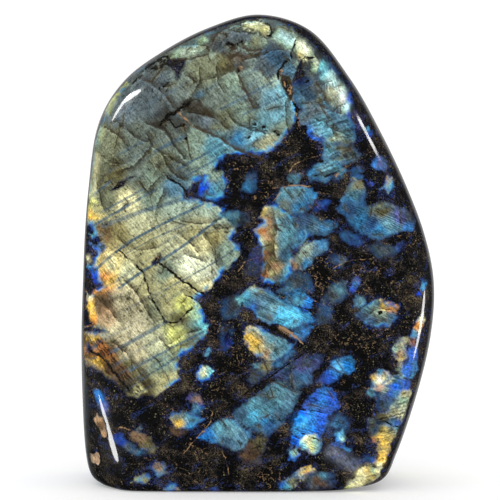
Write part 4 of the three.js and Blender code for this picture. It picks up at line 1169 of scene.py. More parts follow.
    def _settle(self) -> None:
        """Drop points that no face uses, then find which way each point looks."""
        used = np.array(sorted({corner for face in self.faces for corner in face}))
        slot = np.full(len(self.points), -1)
        slot[used] = np.arange(len(used))
        self.points = self.points[used]
        self.faces = [tuple(int(slot[corner]) for corner in face) for face in self.faces]
        self.normals = np.zeros_like(self.points)
        corners = np.array([face[:4] for face in self.faces])
        first, second = (
            self.points[corners[:, a]] - self.points[corners[:, b]] for a, b in ((2, 0), (3, 1))
        )
        looks = np.cross(first, second)
        for column in range(4):
            np.add.at(self.normals, corners[:, column], looks)
        self.normals /= np.maximum(np.linalg.norm(self.normals, axis=1), 1e-12)[:, None]

    def push(self, depth: Array) -> None:
        """Move every point inwards by its own depth, in millimetres."""
        self.points = self.points - self.normals * depth[:, None]

    def fit(self, low: Array, high: Array) -> None:
        """Stretch the skin so that it fills a box exactly."""
        least, most = self.points.min(axis=0), self.points.max(axis=0)
        self.points = low + (self.points - least) * (high - low) / (most - least)


# ---- Painting the pattern onto the skin ----


@dataclass(frozen=True)
class Sight:
    """How the face is seen, and so how its pattern is laid out: from a seat in front of the stone.

    Attributes:
        reach: the distance of the seat from the stone's middle, in millimetres.
        tilt: how far above the horizon the seat is, in degrees.
        aim: the place on the stone's middle plane that the eye rests on.
        middle: the place in the pattern that lies there.
        sheet: how far in front of the middle plane the pattern is drawn at its true size.
    """

    reach: float = 600.0
    tilt: float = 4.0
    aim: Spot = (-2.12, 64.78)
    middle: Spot = (-2.18, 65.95)
    sheet: float = 13.6

    def lay(self, points: Array) -> Array:
        """Find where in the pattern each point of the skin seems to lie.

        Args:
            points: rows of x, y, z in millimetres.

        Returns:
            Rows of across and up.
        """
        turn = math.radians(self.tilt)
        rise = points[:, 2] - self.aim[1]
        away = self.reach + points[:, 1] * math.cos(turn) - rise * math.sin(turn)
        near = (self.reach - self.sheet) / away
        across = self.middle[0] + (points[:, 0] - self.aim[0]) * near
        up = self.middle[1] + (rise * math.cos(turn) + points[:, 1] * math.sin(turn)) * near
        return np.column_stack([across, up])


class Canvas:
    """The pattern's fields at every point of the skin.

    Each field is smooth, so that the finish can find crisp edges between the points.

    Attributes:
        SPAN: how deep in a crystal a hollow counts as, in millimetres like all lengths here.
        MARGIN: how far past its outline a patch still changes something.
        STRAY: how far outlines stray from straight, in broad waves and in fine ones.
        FOLLOW: how much of that straying a crack follows.
        BREADTH: how much of its width a crack has on either side.
        CORE: how far round its place a tint stays pure, squared.
        PULL: how steeply a tint fades into its neighbours.
        DIP: how deep a hollow sinks.
        BLANK: what each field says where nothing is drawn.
    """

    SPAN = 6.0
    MARGIN = 2.6
    STRAY = (0.22, 0.2)
    FOLLOW = 0.35
    BREADTH = 0.58
    CORE = 0.35
    PULL = 1.9
    DIP = 0.4
    BLANK = {
        "depth": -SPAN, "soft": 0.6, "glow": 1.0, "fringe": 0.0, "hatch": 0.0, "rough": 0.0, "painted_rim_sheen": 0.0,
        "crack": 4.0, "crack_away": 4.0, "crack_half": 0.25, "crack_near": 0.0, "crack_gold": 0.0,
        "crack_shade": 0.0, "ribbon": 4.0, "ribbon_away": 4.0, "ribbon_half": 0.3, "ribbon_near": 0.0,
    }

    def __init__(self, points: Array, spots: Array) -> None:
        """Start with bare matrix.

        Args:
            points: the skin's points in millimetres.
            spots: where each lies in the pattern.
        """
        self.points = points
        self.spots = spots
        broad, fine = (
            np.column_stack([Ripples(size, seed + axis).at(spots) for axis in range(2)])
            for size, seed in ((6.0, 3), (2.4, 5))
        )
        self.warped = spots + (broad * self.STRAY[0] + fine * self.STRAY[1])
        self.tint = np.tile(SMOKE.linear(), (len(points), 1))
        # painted glow: emission colour that stands in for the flash's highlights
        self.painted_glow = np.zeros((len(points), 3))
        self.field = {name: np.full(len(points), value) for name, value in self.BLANK.items()}
        self.field["lines"] = Hatch().run(spots)

    def blend(self, index: Array | slice, share: Array, **levels: Array | float) -> None:
        """Lay new levels over some fields at some points.

        Args:
            index: which points.
            share: how much of the new level each takes.
            **levels: the new level of each field.
        """
        for name, level in levels.items():
            self.field[name][index] = blend(self.field[name][index], level, share)

    def lay(self, patch: Patch) -> None:
        """Paint one patch over what is there.

        Args:
            patch: its outline, colours and kind.
        """
        corners = np.array(patch.outline, float)
        above = self.warped > corners.min(axis=0) - self.MARGIN
        below = self.warped < corners.max(axis=0) + self.MARGIN
        index = np.flatnonzero(np.all(above & below, axis=1))
        if not len(index):
            return
        inside = inside_distance(self.warped[index], patch.outline)
        depth = self.field["depth"]
        if patch.kind is Kind.GAP:
            depth[index] = np.minimum(depth[index], -inside)
            self.blend(index, fade(inside, -1.4, -0.4), soft=patch.soft)
            self.blend(index, fade(inside, -2.6, -1.0), fringe=patch.fringe)
            return
        if patch.kind is Kind.WASH:
            share = fade(inside, -patch.soft / 2, patch.soft / 2) * patch.glow
        else:
            share = fade(inside, -1.1, -0.1)
            depth[index] = np.maximum(inside, depth[index])
            self.blend(index, share, soft=patch.soft, glow=patch.glow, fringe=patch.fringe)
        self.tint[index] = blend(self.tint[index], self._tints(patch, self.spots[index]), share)
        if patch.kind is Kind.FLASH or patch.hatch != Hatch():
            within = inside > -0.3
            lines, hatch = self.field["lines"], self.field["hatch"]
            lines[index] = np.where(within, patch.hatch.run(self.spots[index]), lines[index])
            calm = fade(np.abs(inside + 0.3), 0.1, 0.9)
            hatch[index] = np.where(within, patch.hatch.strength, hatch[index]) * calm

    @staticmethod
    def _tints(patch: Patch, spots: Array) -> Array:
        """Mix a patch's colours, each running into its neighbours.

        Args:
            patch: the patch.
            spots: where to mix them.

        Returns:
            One linear colour for each spot.
        """
        total = np.zeros((len(spots), 3))
        weight = np.zeros(len(spots))
        for across, up, tint in patch.tints:
            away = (spots[:, 0] - across) ** 2 + (spots[:, 1] - up) ** 2
            pull = 1 / (away + Canvas.CORE) ** Canvas.PULL
            total += pull[:, None] * tint.linear()
            weight += pull
        return total / weight[:, None]

    def _trace(self, kind: str, side: Array, **levels: Array | float) -> None:
        """Note the levels of a line wherever it is the nearest of its kind so far.

        Args:
            kind: the first part of its fields' names.
            side: how far each point lies to its left.
            **levels: its other levels.
        """
        away = np.abs(side)
        mine = away < self.field[f"{kind}_away"]
        self.field[kind] = np.where(mine, side, self.field[kind])
        for name, level in {"away": away, **levels}.items():
            self.field[f"{kind}_{name}"] = np.where(mine, level, self.field[f"{kind}_{name}"])

    def scratch(self, crack: Crack) -> None:
        """Draw one crack, with painted shade on one side of it.

        Args:
            crack: its course, width and filling.
        """
        spots = self.spots + (self.warped - self.spots) * self.FOLLOW
        side, past = Course(crack.course).beside(spots)
        gold, painted_shade, dark = crack.seam.value
        self._trace(
            "crack",
            side,
            half=crack.width * self.BREADTH * fade(past, 1.0, 0.0),
            near=fade(np.abs(side), 2.0, 1.3) * dark * fade(past, 0.9, 0.2),
            gold=gold,
            # painted shade: a darkening on one side of the crack
            shade=painted_shade * dark * fade(side, -0.3, 0.3) * fade(past, 2.0, 0.0),
        )

    def draw(self, ribbon: Ribbon) -> None:
        """Draw one straight twin line.

        Args:
            ribbon: its course, width and strength.
        """
        side, past = Course(ribbon.course).beside(self.spots)
        near = fade(np.abs(side), 2.0, 1.3) * ribbon.strength * fade(past, 1.2, 0.0)
        self._trace("ribbon", side, half=ribbon.width / 2, near=near)

    def paint_glow(self, painted_glow_mark: PaintedGlow) -> None:
        """Paint a glow onto one place: emission that stands in for the flash's highlight.

        Args:
            painted_glow_mark: its course, breadth, colour and strength.
        """
        side, past = Course(painted_glow_mark.course).beside(self.spots)
        reach = np.hypot(side, past) / painted_glow_mark.breadth
        share = painted_glow_mark.strength * np.exp(-1.2 * reach**2)
        self.painted_glow = np.maximum(self.painted_glow, share[:, None] * painted_glow_mark.tint.linear())

    def hollow(self, patch: Patch) -> Array:
        """Open one rough, unpolished hollow.

        Args:
            patch: its outline and colours.

        Returns:
            How deep each point of the skin sinks, in millimetres.
        """
        inside = inside_distance(self.warped, patch.outline)
        share = fade(inside, -0.3, 0.4)
        self.tint = blend(self.tint, self._tints(patch, self.spots), share)
        self.blend(slice(None), share, depth=self.SPAN, glow=1.0, fringe=0.0, hatch=0.0)
        self.field["rough"] = np.maximum(self.field["rough"], share)
        return self.DIP * fade(inside, -0.2, 1.2)


@dataclass(frozen=True)
class Grains:
    """The crystals of the sides and the back: cells round scattered middles.

    Attributes:
        spacing: the typical size of a crystal in millimetres.
        stretch: how much longer than wide a crystal is.
        lean: the direction a crystal is long in, in degrees above the ground.
        lit: the share of crystals that light up.
        bend: how far a crystal's borders stray, in millimetres.
        lines: the spacing of its cleavage lines in millimetres.
        hatch: how much they change its tone.
        pairs: the tints that a crystal can run between.
        seed: which scatter.
    """

    spacing: float = 12.0
    stretch: float = 1.7
    lean: float = 32.0
    lit: float = 0.46
    bend: float = 1.6
    lines: float = 0.8
    hatch: float = 0.35
    pairs: tuple[tuple[Tint, Tint], ...] = (
        (STEEL, TEAL), (TEAL, MIST), (DUSK, COBALT), (SAGE, CREAM),
        (STEEL, AZURE), (MOSS, STRAW), (BRASS, LIME), (SEA, LAGOON),
        (LICHEN, SAGE), (DUSK, STEEL),
    )
    seed: int = 41

    def _lean(self, points: Array) -> Array:
        """Move points to a frame where a crystal is as long as it is wide.

        Args:
            points: rows of x, y, z in millimetres.

        Returns:
            The points in that frame.
        """
        turn = math.radians(self.lean)
        along = points[:, 0] * math.cos(turn) + points[:, 2] * math.sin(turn)
        across = points[:, 2] * math.cos(turn) - points[:, 0] * math.sin(turn)
        return np.column_stack([along / self.stretch, points[:, 1], across])

    def lay(self, canvas: Canvas, share: Array) -> None:
        """Paint the crystals.

        Args:
            canvas: the fields to paint into.
            share: how much of each point belongs to the sides and back, 0 to 1.
        """
        rng = np.random.default_rng(self.seed)
        points = canvas.points
        low, high = points.min(axis=0) - 8, points.max(axis=0) + 8
        count = int(np.prod(high - low) / self.spacing**3 / self.stretch * 1.5)
        middles = self._lean(low + rng.random((count, 3)) * (high - low))
        bends = [Ripples(16.0, 50 + axis).at(points) * self.bend for axis in range(3)]
        places = self._lean(points + np.column_stack(bends))
        nearest = np.full(len(places), np.inf)
        second = np.full(len(places), np.inf)
        owner = np.zeros(len(places), int)
        for index, middle in enumerate(middles):
            away = np.linalg.norm(places - middle, axis=1)
            closer = away < nearest
            second = np.where(closer, nearest, np.minimum(second, away))
            nearest = np.where(closer, away, nearest)
            owner = np.where(closer, index, owner)
        bright = (rng.random(count) < self.lit)[owner]
        shades = np.array([[tint.linear() for tint in pair] for pair in self.pairs])
        choice = rng.integers(0, len(shades), count)[owner]
        mix = np.clip(Ripples(9.0, 61).at(points) * 0.6 + 0.5, 0, 1)
        depth = (second - nearest) / 2 - 0.5 + Ripples(5.0, 62).at(points) * 0.4
        turn = np.radians(rng.uniform(-60, -20, count)[owner])
        run = points[:, 2] * np.cos(turn) - (points[:, 0] + points[:, 1]) * np.sin(turn)
        canvas.tint = blend(canvas.tint, blend(shades[choice, 0], shades[choice, 1], mix), share)
        canvas.blend(
            slice(None),
            share,
            depth=np.where(bright, depth, -depth - 1.0),
            glow=rng.uniform(0.45, 1.0, count)[owner],
            fringe=rng.uniform(0.1, 0.9, count)[owner],
            soft=0.9,
            crack_near=0.0,
            crack_shade=0.0,
            ribbon_near=0.0,
        )
        hatch = self.hatch * fade(second - nearest, 0.2, 1.4)
        canvas.blend(slice(None), fade(share, 0.5, 0.9), hatch=hatch)
        canvas.field["hatch"] *= fade(np.abs(share - 0.5), 0.0, 0.2)
        canvas.field["lines"] = np.where(share > 0.5, run / self.lines, canvas.field["lines"])


# ---- The finishes ----


class Graph:
    """A thin helper to lay out shader nodes."""

    def __init__(self, tree: bpy.types.NodeTree) -> None:
        """Work in one node tree."""
        self.tree = tree

    def feed(self, node: Node, inputs: Inputs) -> None:
        """Give a node's inputs their links, tints or plain values.

        Args:
            node: the node.
            inputs: what each input gets, by its name or number.
        """
        for place, value in inputs.items():
            socket = node.inputs[place]
            if isinstance(value, Socket):
                self.tree.links.new(value, socket)
            elif isinstance(value, Tint):
                socket.default_value = (*value.linear(), 1.0)
            else:
                socket.default_value = value

    def node(self, kind: str, inputs: Inputs | None = None, **settings: object) -> Node:
        """Add a node.

        Args:
            kind: its type, without the first part that all share.
            inputs: what its inputs get.
            **settings: its plain properties.

        Returns:
            The node.
        """
        node = self.tree.nodes.new(f"ShaderNode{kind}")
        for name, value in settings.items():
            setattr(node, name, value)
        self.feed(node, inputs or {})
        return node

    def math(self, operation: str, *values: object) -> Socket:
        """A sum on single values."""
        return self.node("Math", dict(enumerate(values)), operation=operation).outputs[0]

    def times(self, *values: object) -> Socket:
        """The product of some values."""
        return reduce(partial(self.math, "MULTIPLY"), values)

    def plus(self, *values: object) -> Socket:
        """The sum of some values."""
        return reduce(partial(self.math, "ADD"), values)

    def step(self, value: object, start: object, end: object, low: float = 0, high: float = 1) -> Socket:
        """A soft step of a value between two others."""
        inputs = {"Value": value, "From Min": start, "From Max": end, "To Min": low, "To Max": high}
        return self.node("MapRange", inputs, interpolation_type="SMOOTHSTEP").outputs["Result"]

    def mix(self, share: object, under: object, over: object, blend_type: str = "MIX") -> Socket:
        """One colour laid over another."""
        inputs = {"Factor": share, 6: under, 7: over}
        return self.node("Mix", inputs, data_type="RGBA", blend_type=blend_type).outputs[2]

    def ladder(self, value: object, rungs: tuple[tuple[float, Tint], ...]) -> Socket:
        """Choose a colour by a value.

        Args:
            value: the value.
            rungs: its levels and the tint at each.

        Returns:
            The colour.
        """
        node = self.node("ValToRGB", {"Fac": value})
        ramp = node.color_ramp
        while len(ramp.elements) < len(rungs):
            ramp.elements.new(1.0)
        for element, (place, tint) in zip(ramp.elements, rungs):
            element.position = place
            element.color = (*tint.linear(), 1.0)
        return node.outputs["Color"]

    def tone(self, colour: object, level: object) -> Socket:
        """A colour made lighter or darker by a single value."""
        grey = self.node("CombineColor", dict.fromkeys(range(3), level))
        return self.mix(1.0, colour, grey.outputs["Color"], "MULTIPLY")

    def read(self, name: str) -> Socket:
        """A field that the skin carries."""
        node = self.node("Attribute", attribute_name=name)
        return node.outputs["Color" if name in ("tint", "painted_glow") else "Fac"]

    def seat(self) -> Socket:
        """The place on the stone, in its own frame."""
        return self.node("TexCoord").outputs["Object"]

    def turned(self, angle: float, stretch: float, shift: float = 0.0) -> Socket:
        """The place on the stone, with everything stretched along a line across its face.

        Args:
            angle: how steeply the line rises to the right, in degrees.
            stretch: how many times longer things get along it.
            shift: how far the whole is moved, in millimetres, so that two fields differ.

        Returns:
            The place.
        """
        moved = {"Rotation": (0.0, math.radians(angle), 0.0), "Location": (shift * MM, shift * MM, 0.0)}
        turn = self.node("Mapping", {"Vector": self.seat(), **moved}, vector_type="POINT")
        inputs = {"Vector": turn.outputs["Vector"], "Scale": (1.0 / stretch, 1.0, 1.0)}
        return self.node("Mapping", inputs, vector_type="POINT").outputs["Vector"]

    def clouds(self, size: float, detail: float, seat: Socket | None = None, rough: float = 0.5) -> Node:
        """Add cloudy noise.

        Args:
            size: the size of its features in millimetres.
            detail: how many finer layers it has.
            seat: the place to read it at, or else the place on the stone.
            rough: how strong the finer layers are.

        Returns:
            The node, with all its outputs.
        """
        scale = 1.0 / (size * MM)
        inputs = {"Vector": seat or self.seat(), "Scale": scale, "Detail": detail, "Roughness": rough}
        return self.node("TexNoise", inputs, noise_dimensions="3D")

    def noise(
        self, size: float, detail: float = 2, seat: Socket | None = None, rough: float = 0.5
    ) -> Socket:
        """A cloudy value around 0.5."""
        return self.clouds(size, detail, seat, rough).outputs["Fac"]

    def swing(
        self, size: float, amount: float, detail: float = 2, seat: Socket | None = None, rough: float = 0.5
    ) -> Socket:
        """A cloudy value around zero that mostly stays within an amount."""
        return self.math("MULTIPLY_ADD", self.noise(size, detail, seat, rough), 4 * amount, -2 * amount)

    def cells(self, size: float, feature: str, warp: float, angle: float = 0, stretch: float = 1) -> Node:
        """Angular grains.

        Args:
            size: their size in millimetres.
            feature: which measure of the grains the node gives.
            warp: how far their borders stray, in millimetres.
            angle: the direction they are stretched along, in degrees.
            stretch: how many times longer than wide they are.

        Returns:
            The node, with all its outputs.
        """
        stray = self.clouds(size * 0.6, 3.0).outputs["Color"]
        inputs = {0: stray, 1: (2 * warp * MM,) * 3, 2: self.turned(angle, stretch)}
        moved = self.node("VectorMath", inputs, operation="MULTIPLY_ADD").outputs["Vector"]
        return self.node("TexVoronoi", {"Vector": moved, "Scale": 1.0 / (size * MM)}, feature=feature)


@dataclass(frozen=True)
class Ground:
    """The dark matrix between the crystals: brown clouds, fine grain, blue smudges and tan veins, with a
    painted grey sheen on the rim.

    Attributes:
        clouds: its colours, from the darkest to the palest cloud.
        cloud: the size of a cloud in millimetres.
        grain: the size of a grain in millimetres.
        halo: how far a crystal's blue reaches into it, in millimetres.
        bare: the heights in metres between which its veins die out upwards.
    """

    clouds: tuple[tuple[float, Tint], ...] = (
        (0.0, SOOT), (0.47, SOOT), (0.53, COAL), (0.6, PEAT), (0.68, LOAM), (0.8, UMBER),
    )
    cloud: float = 5.0
    grain: float = 0.6
    halo: float = 2.2
    bare: Spot = (0.104, 0.096)

    def colour(self, graph: Graph, edge: Socket) -> Socket:
        """Its colour at each place.

        Args:
            graph: the tree to build in.
            edge: how deep each place lies inside a crystal, negative in the matrix.

        Returns:
            The colour.
        """
        step, noise, times, mix = graph.step, graph.noise, graph.times, graph.mix
        colour = graph.ladder(noise(self.cloud, 5.0, graph.turned(-35, 1.6), 0.66), self.clouds)
        near = step(edge, -self.halo, -0.1)
        reach = step(graph.read("fringe"), 0.0, 0.5, 0.4, 1.0)
        colour = mix(times(near, step(noise(1.2, 3.0), 0.4, 0.58), 0.8, reach), colour, NIGHT)
        smudge = step(noise(2.6, 3.0, graph.turned(30, 2.0, 3)), 0.54, 0.66)
        colour = mix(times(smudge, step(noise(0.5), 0.3, 0.7), 0.8), colour, INDIGO)
        grain = graph.plus(graph.swing(self.grain, 1.5, 3.0, rough=0.8), graph.swing(0.3, 1.2, 1.0))
        colour = graph.tone(colour, graph.math("MAXIMUM", graph.plus(0.85, grain), 0.1))
        flecks = noise(0.45, 3.0, rough=0.7)
        where = step(noise(4.0, 3.0), 0.46, 0.6)
        colour = mix(times(step(flecks, 0.54, 0.66), where, 0.8), colour, LOAM)
        colour = mix(times(step(flecks, 0.62, 0.68), where, 0.7), colour, STRAW)
        spark = times(near, step(noise(0.8), 0.62, 0.7), step(noise(3.0), 0.5, 0.6))
        colour = mix(times(spark, 0.6), colour, GLINT)
        colour = mix(times(self._veins(graph), 0.75), colour, TAN)
        # painted sheen: slate grey laid on the band of the rim that turns away from the seat
        painted_rim_sheen = graph.tone(SLATE, graph.plus(0.45, graph.swing(1.2, 0.25, 3.0)))
        return mix(times(graph.read("painted_rim_sheen"), 0.75), colour, painted_rim_sheen)

    def _veins(self, graph: Graph) -> Socket:
        """Scatter thin tan veins and specks.

        Args:
            graph: the tree to build in.

        Returns:
            Where they show.
        """
        step, noise, times = graph.step, graph.noise, graph.times
        wander = noise(2.2, 3.0, graph.turned(-12, 1.8, 9), 0.6)
        vein = step(graph.math("ABSOLUTE", graph.plus(wander, -0.5)), 0.013, 0.004)
        vein = times(vein, step(noise(6.0), 0.5, 0.62), step(noise(0.9), 0.46, 0.58))
        speck = step(graph.cells(1.3, "F1", 0.5).outputs["Distance"], 0.2, 0.08)
        speck = times(speck, step(noise(3.4, 3.0), 0.54, 0.66), 0.7)
        height = graph.node("SeparateXYZ", {0: graph.seat()}).outputs["Z"]
        return times(graph.math("MAXIMUM", vein, speck), step(height, *self.bare))


@dataclass(frozen=True)
class Flash:
    """The lit crystals: grain, cleavage lines, plates, twin lines and the blue of their edges.

    Attributes:
        plate: the size of the plates a crystal breaks into, in millimetres.
        grain: how much the fine grain changes the tone.
        streak: how much the long streaks change it.
    """

    plate: float = 8.0
    grain: float = 0.42
    streak: float = 0.24

    def colour(self, graph: Graph, edge: Socket) -> Socket:
        """Its colour at each place.

        Args:
            graph: the tree to build in.
            edge: how deep each place lies inside its crystal.

        Returns:
            The colour.
        """
        colour = self._ribbons(graph, self._lines(graph, self._plates(graph, graph.read("tint"))))
        tone = graph.plus(
            1.2,
            graph.swing(1.3, self.streak, 3.0, graph.turned(30, 9.0)),
            graph.swing(0.38, self.grain * 1.3, seat=graph.turned(-52, 5.0)),
            graph.swing(0.45, self.grain * 1.5),
            graph.swing(1.6, self.grain * 1.1),
        )
        return self._fringe(graph, graph.tone(colour, tone), edge)

    def _plates(self, graph: Graph, colour: Socket) -> Socket:
        """Break the colour into plates of slightly different tone, with thin seams between.

        Args:
            graph: the tree to build in.
            colour: the colour so far.

        Returns:
            The new colour.
        """
        step = graph.step
        plates = graph.cells(self.plate, "F1", 0.9, -52, 2.0).outputs["Color"]
        level, grey, _ = graph.node("SeparateColor", {0: plates}).outputs
        colour = graph.mix(step(grey, 0.6, 0.95, 0.0, 0.25), colour, PEWTER)
        colour = graph.tone(colour, step(level, 0.0, 1.0, 0.84, 1.2))
        apart = graph.cells(self.plate, "DISTANCE_TO_EDGE", 0.9, -52, 2.0).outputs["Distance"]
        seen = step(graph.noise(4.0, 3.0), 0.46, 0.62)
        colour = graph.mix(graph.times(step(apart, 0.11, 0.0), seen, 0.55), colour, OLIVE)
        return graph.mix(graph.times(step(apart, 0.02, 0.006), seen, 0.85), colour, PEAT)

    @staticmethod
    def _lines(graph: Graph, colour: Socket) -> Socket:
        """Rule the cleavage lines.

        Args:
            graph: the tree to build in.
            colour: the colour so far.

        Returns:
            The new colour.
        """
        run = graph.plus(graph.read("lines"), graph.times(graph.noise(1.6), 1.2))
        lines = graph.node("TexNoise", noise_dimensions="1D")
        graph.feed(lines, {"W": run, "Scale": 1.0, "Detail": 3.0})
        patchy = graph.step(graph.noise(2.2), 0.34, 0.6, 0.25, 1.0)
        line = graph.step(graph.math("ABSOLUTE", graph.plus(lines.outputs["Fac"], -0.5)), 0.13, 0.03)
        share = graph.times(line, graph.read("hatch"), patchy, 1.9)
        return graph.mix(share, colour, graph.tone(colour, 0.2))

    @staticmethod
    def _ribbons(graph: Graph, colour: Socket) -> Socket:
        """Draw the blue-grey twin lines, the placed ones and their fainter neighbours.

        Args:
            graph: the tree to build in.
            colour: the colour so far.

        Returns:
            The new colour.
        """
        step, noise, times = graph.step, graph.noise, graph.times
        thin = step(noise(1.1, 1.0, graph.turned(30, 16.0, 7)), 0.58, 0.68)
        colour = graph.mix(times(thin, 0.3), colour, RIVER)
        away = graph.math("ABSOLUTE", graph.plus(graph.read("ribbon"), graph.swing(1.4, 0.12)))
        half = graph.read("ribbon_half")
        mark = step(away, times(half, 1.4), times(half, 0.5))
        broken = step(noise(2.0), 0.3, 0.5, 0.6, 1.0)
        mine = step(graph.read("ribbon_away"), 1.4, 0.9)
        return graph.mix(times(mark, graph.read("ribbon_near"), broken, mine, 1.1), colour, RIVER)

    @staticmethod
    def _fringe(graph: Graph, colour: Socket, edge: Socket) -> Socket:
        """Turn the edge blue and cyan.

        Args:
            graph: the tree to build in.
            colour: the colour so far.
            edge: how deep each place lies inside its crystal.

        Returns:
            The new colour.
        """
        fringe = graph.times(graph.read("fringe"), graph.step(graph.noise(2.8), 0.4, 0.6))
        colour = graph.mix(graph.times(fringe, graph.step(edge, 1.6, 0.7), 0.7), colour, SKY)
        return graph.mix(graph.times(fringe, graph.step(edge, 0.8, 0.25), 0.95), colour, GLINT)


@dataclass(frozen=True)
class Polish:
    """Polished labradorite.

    Attributes:
        ground: the matrix.
        flash: the lit crystals.
        coat_roughness: how blurred the polish reflects.
        coat_ior: its index of refraction.
        under_roughness: how blurred the stone under the polish reflects.
        under_ior: its index of refraction there, low so that the polish does the shining.
        frost: roughness inside the unpolished hollows.
        relief: the depth of the surface's finest texture, in metres.
    """

    ground: Ground = Ground()
    flash: Flash = Flash()
    coat_roughness: float = 0.07
    coat_ior: float = 1.55
    under_roughness: float = 0.5
    under_ior: float = 1.2
    frost: float = 0.85
    relief: float = 0.0003

    def make(self) -> bpy.types.Material:
        """Build the finish from the fields that the skin carries.

        Returns:
            The material.
        """
        material = bpy.data.materials.new("polished_labradorite")
        material.use_nodes = True
        graph = Graph(material.node_tree)
        swing, times = graph.swing, graph.times
        ragged = graph.plus(swing(2.2, 0.34, 3.0, graph.turned(30, 2.5)), swing(0.7, 0.34, 3.0, rough=0.75))
        edge = graph.plus(graph.read("depth"), ragged)
        soft = graph.read("soft")
        lit = times(graph.step(edge, times(soft, -0.8), times(soft, 1.0)), graph.read("glow"))
        colour = graph.mix(lit, self.ground.colour(graph, edge), self.flash.colour(graph, edge))
        colour, groove = self._cracked(graph, colour, lit)
        rough = graph.read("rough")
        texture = graph.plus(1.0, swing(0.4, 0.5, seat=graph.turned(-52, 4.0)), swing(1.2, 0.5, 3.0))
        # painted glow: emission that stands in for the flash's highlights, broken by the grain and the
        # cracks
        painted_glow = times(texture, graph.math("SUBTRACT", 1.0, groove))
        relief = graph.math("SUBTRACT", times(graph.noise(0.6, 3.0), rough), times(groove, 0.4))
        bump = graph.node("Bump", {"Strength": 0.5, "Distance": self.relief, "Height": relief})
        graph.feed(material.node_tree.nodes["Principled BSDF"], {
            "Base Color": colour,
            "Emission Color": graph.tone(graph.read("painted_glow"), painted_glow),
            "Emission Strength": 1.0,
            "Roughness": graph.step(rough, 0.0, 1.0, self.under_roughness, self.frost),
            "IOR": self.under_ior,
            "Coat Weight": graph.step(rough, 0.35, 0.65, 1.0, 0.0),
            "Coat Roughness": self.coat_roughness,
            "Coat IOR": self.coat_ior,
            "Normal": bump.outputs["Normal"],
        })
        return material

    @staticmethod
    def _cracked(graph: Graph, colour: Socket, lit: Socket) -> tuple[Socket, Socket]:
        """The cracks, with painted shade on one side of each and a painted highlight on the other.

        Args:
            graph: the tree to build in.
            colour: the stone's colour so far.
            lit: how much each place lights up.

        Returns:
            The colour with its cracks, and where the cracks are.
        """
        step, noise, times, mix, plus = graph.step, graph.noise, graph.times, graph.mix, graph.plus
        jag = plus(graph.swing(2.2, 0.3, 4.0, rough=0.65), graph.swing(0.5, 0.16, rough=0.7))
        side = plus(graph.read("crack"), jag)
        apart, half, near, gold, shade = (
            graph.read(f"crack_{name}") for name in ("away", "half", "near", "gold", "shade")
        )
        # painted shade: the stone on one side of a crack darkened towards a dark olive-brown
        shade = times(step(plus(apart, jag), 2.4, 0.0), shade)
        colour = mix(times(shade, 0.9, lit), colour, BOG)
        # painted highlight: a lighter strip on the other side of the crack
        painted_highlight = times(step(side, -1.2, -0.4), step(side, -0.1, -0.3), near, lit)
        colour = mix(times(painted_highlight, 0.6), colour, graph.tone(colour, 1.6))
        broken = step(noise(1.7, 3.0), plus(times(gold, 0.14), 0.34), 0.52, 0.1, 1.0)
        broken = graph.math("MAXIMUM", broken, step(half, 0.32, 0.42))
        swell = step(noise(1.2, 3.0, rough=0.7), 0.34, 0.64, 0.35, 1.35)
        mark = step(graph.math("ABSOLUTE", side), times(half, swell, 1.3), times(half, swell, 0.4))
        mark = times(mark, near, broken, step(apart, 1.3, 0.9))
        crumbs = step(noise(0.5, 3.0, rough=0.7), 0.5, 0.62)
        fill = mix(gold, mix(times(crumbs, 0.6), SOOT, BOG), TAN)
        return mix(mark, colour, fill), mark


# ---- The stone and its studio ----


def show(name: str, data: bpy.types.ID) -> bpy.types.Object:
    """Put a mesh, a light or a camera into the scene.

    Args:
        name: what it is called.
        data: the mesh, light or camera.

    Returns:
        The object that shows it.
    """
    thing = bpy.data.objects.new(name, data)
    bpy.context.scene.collection.objects.link(thing)
    return thing


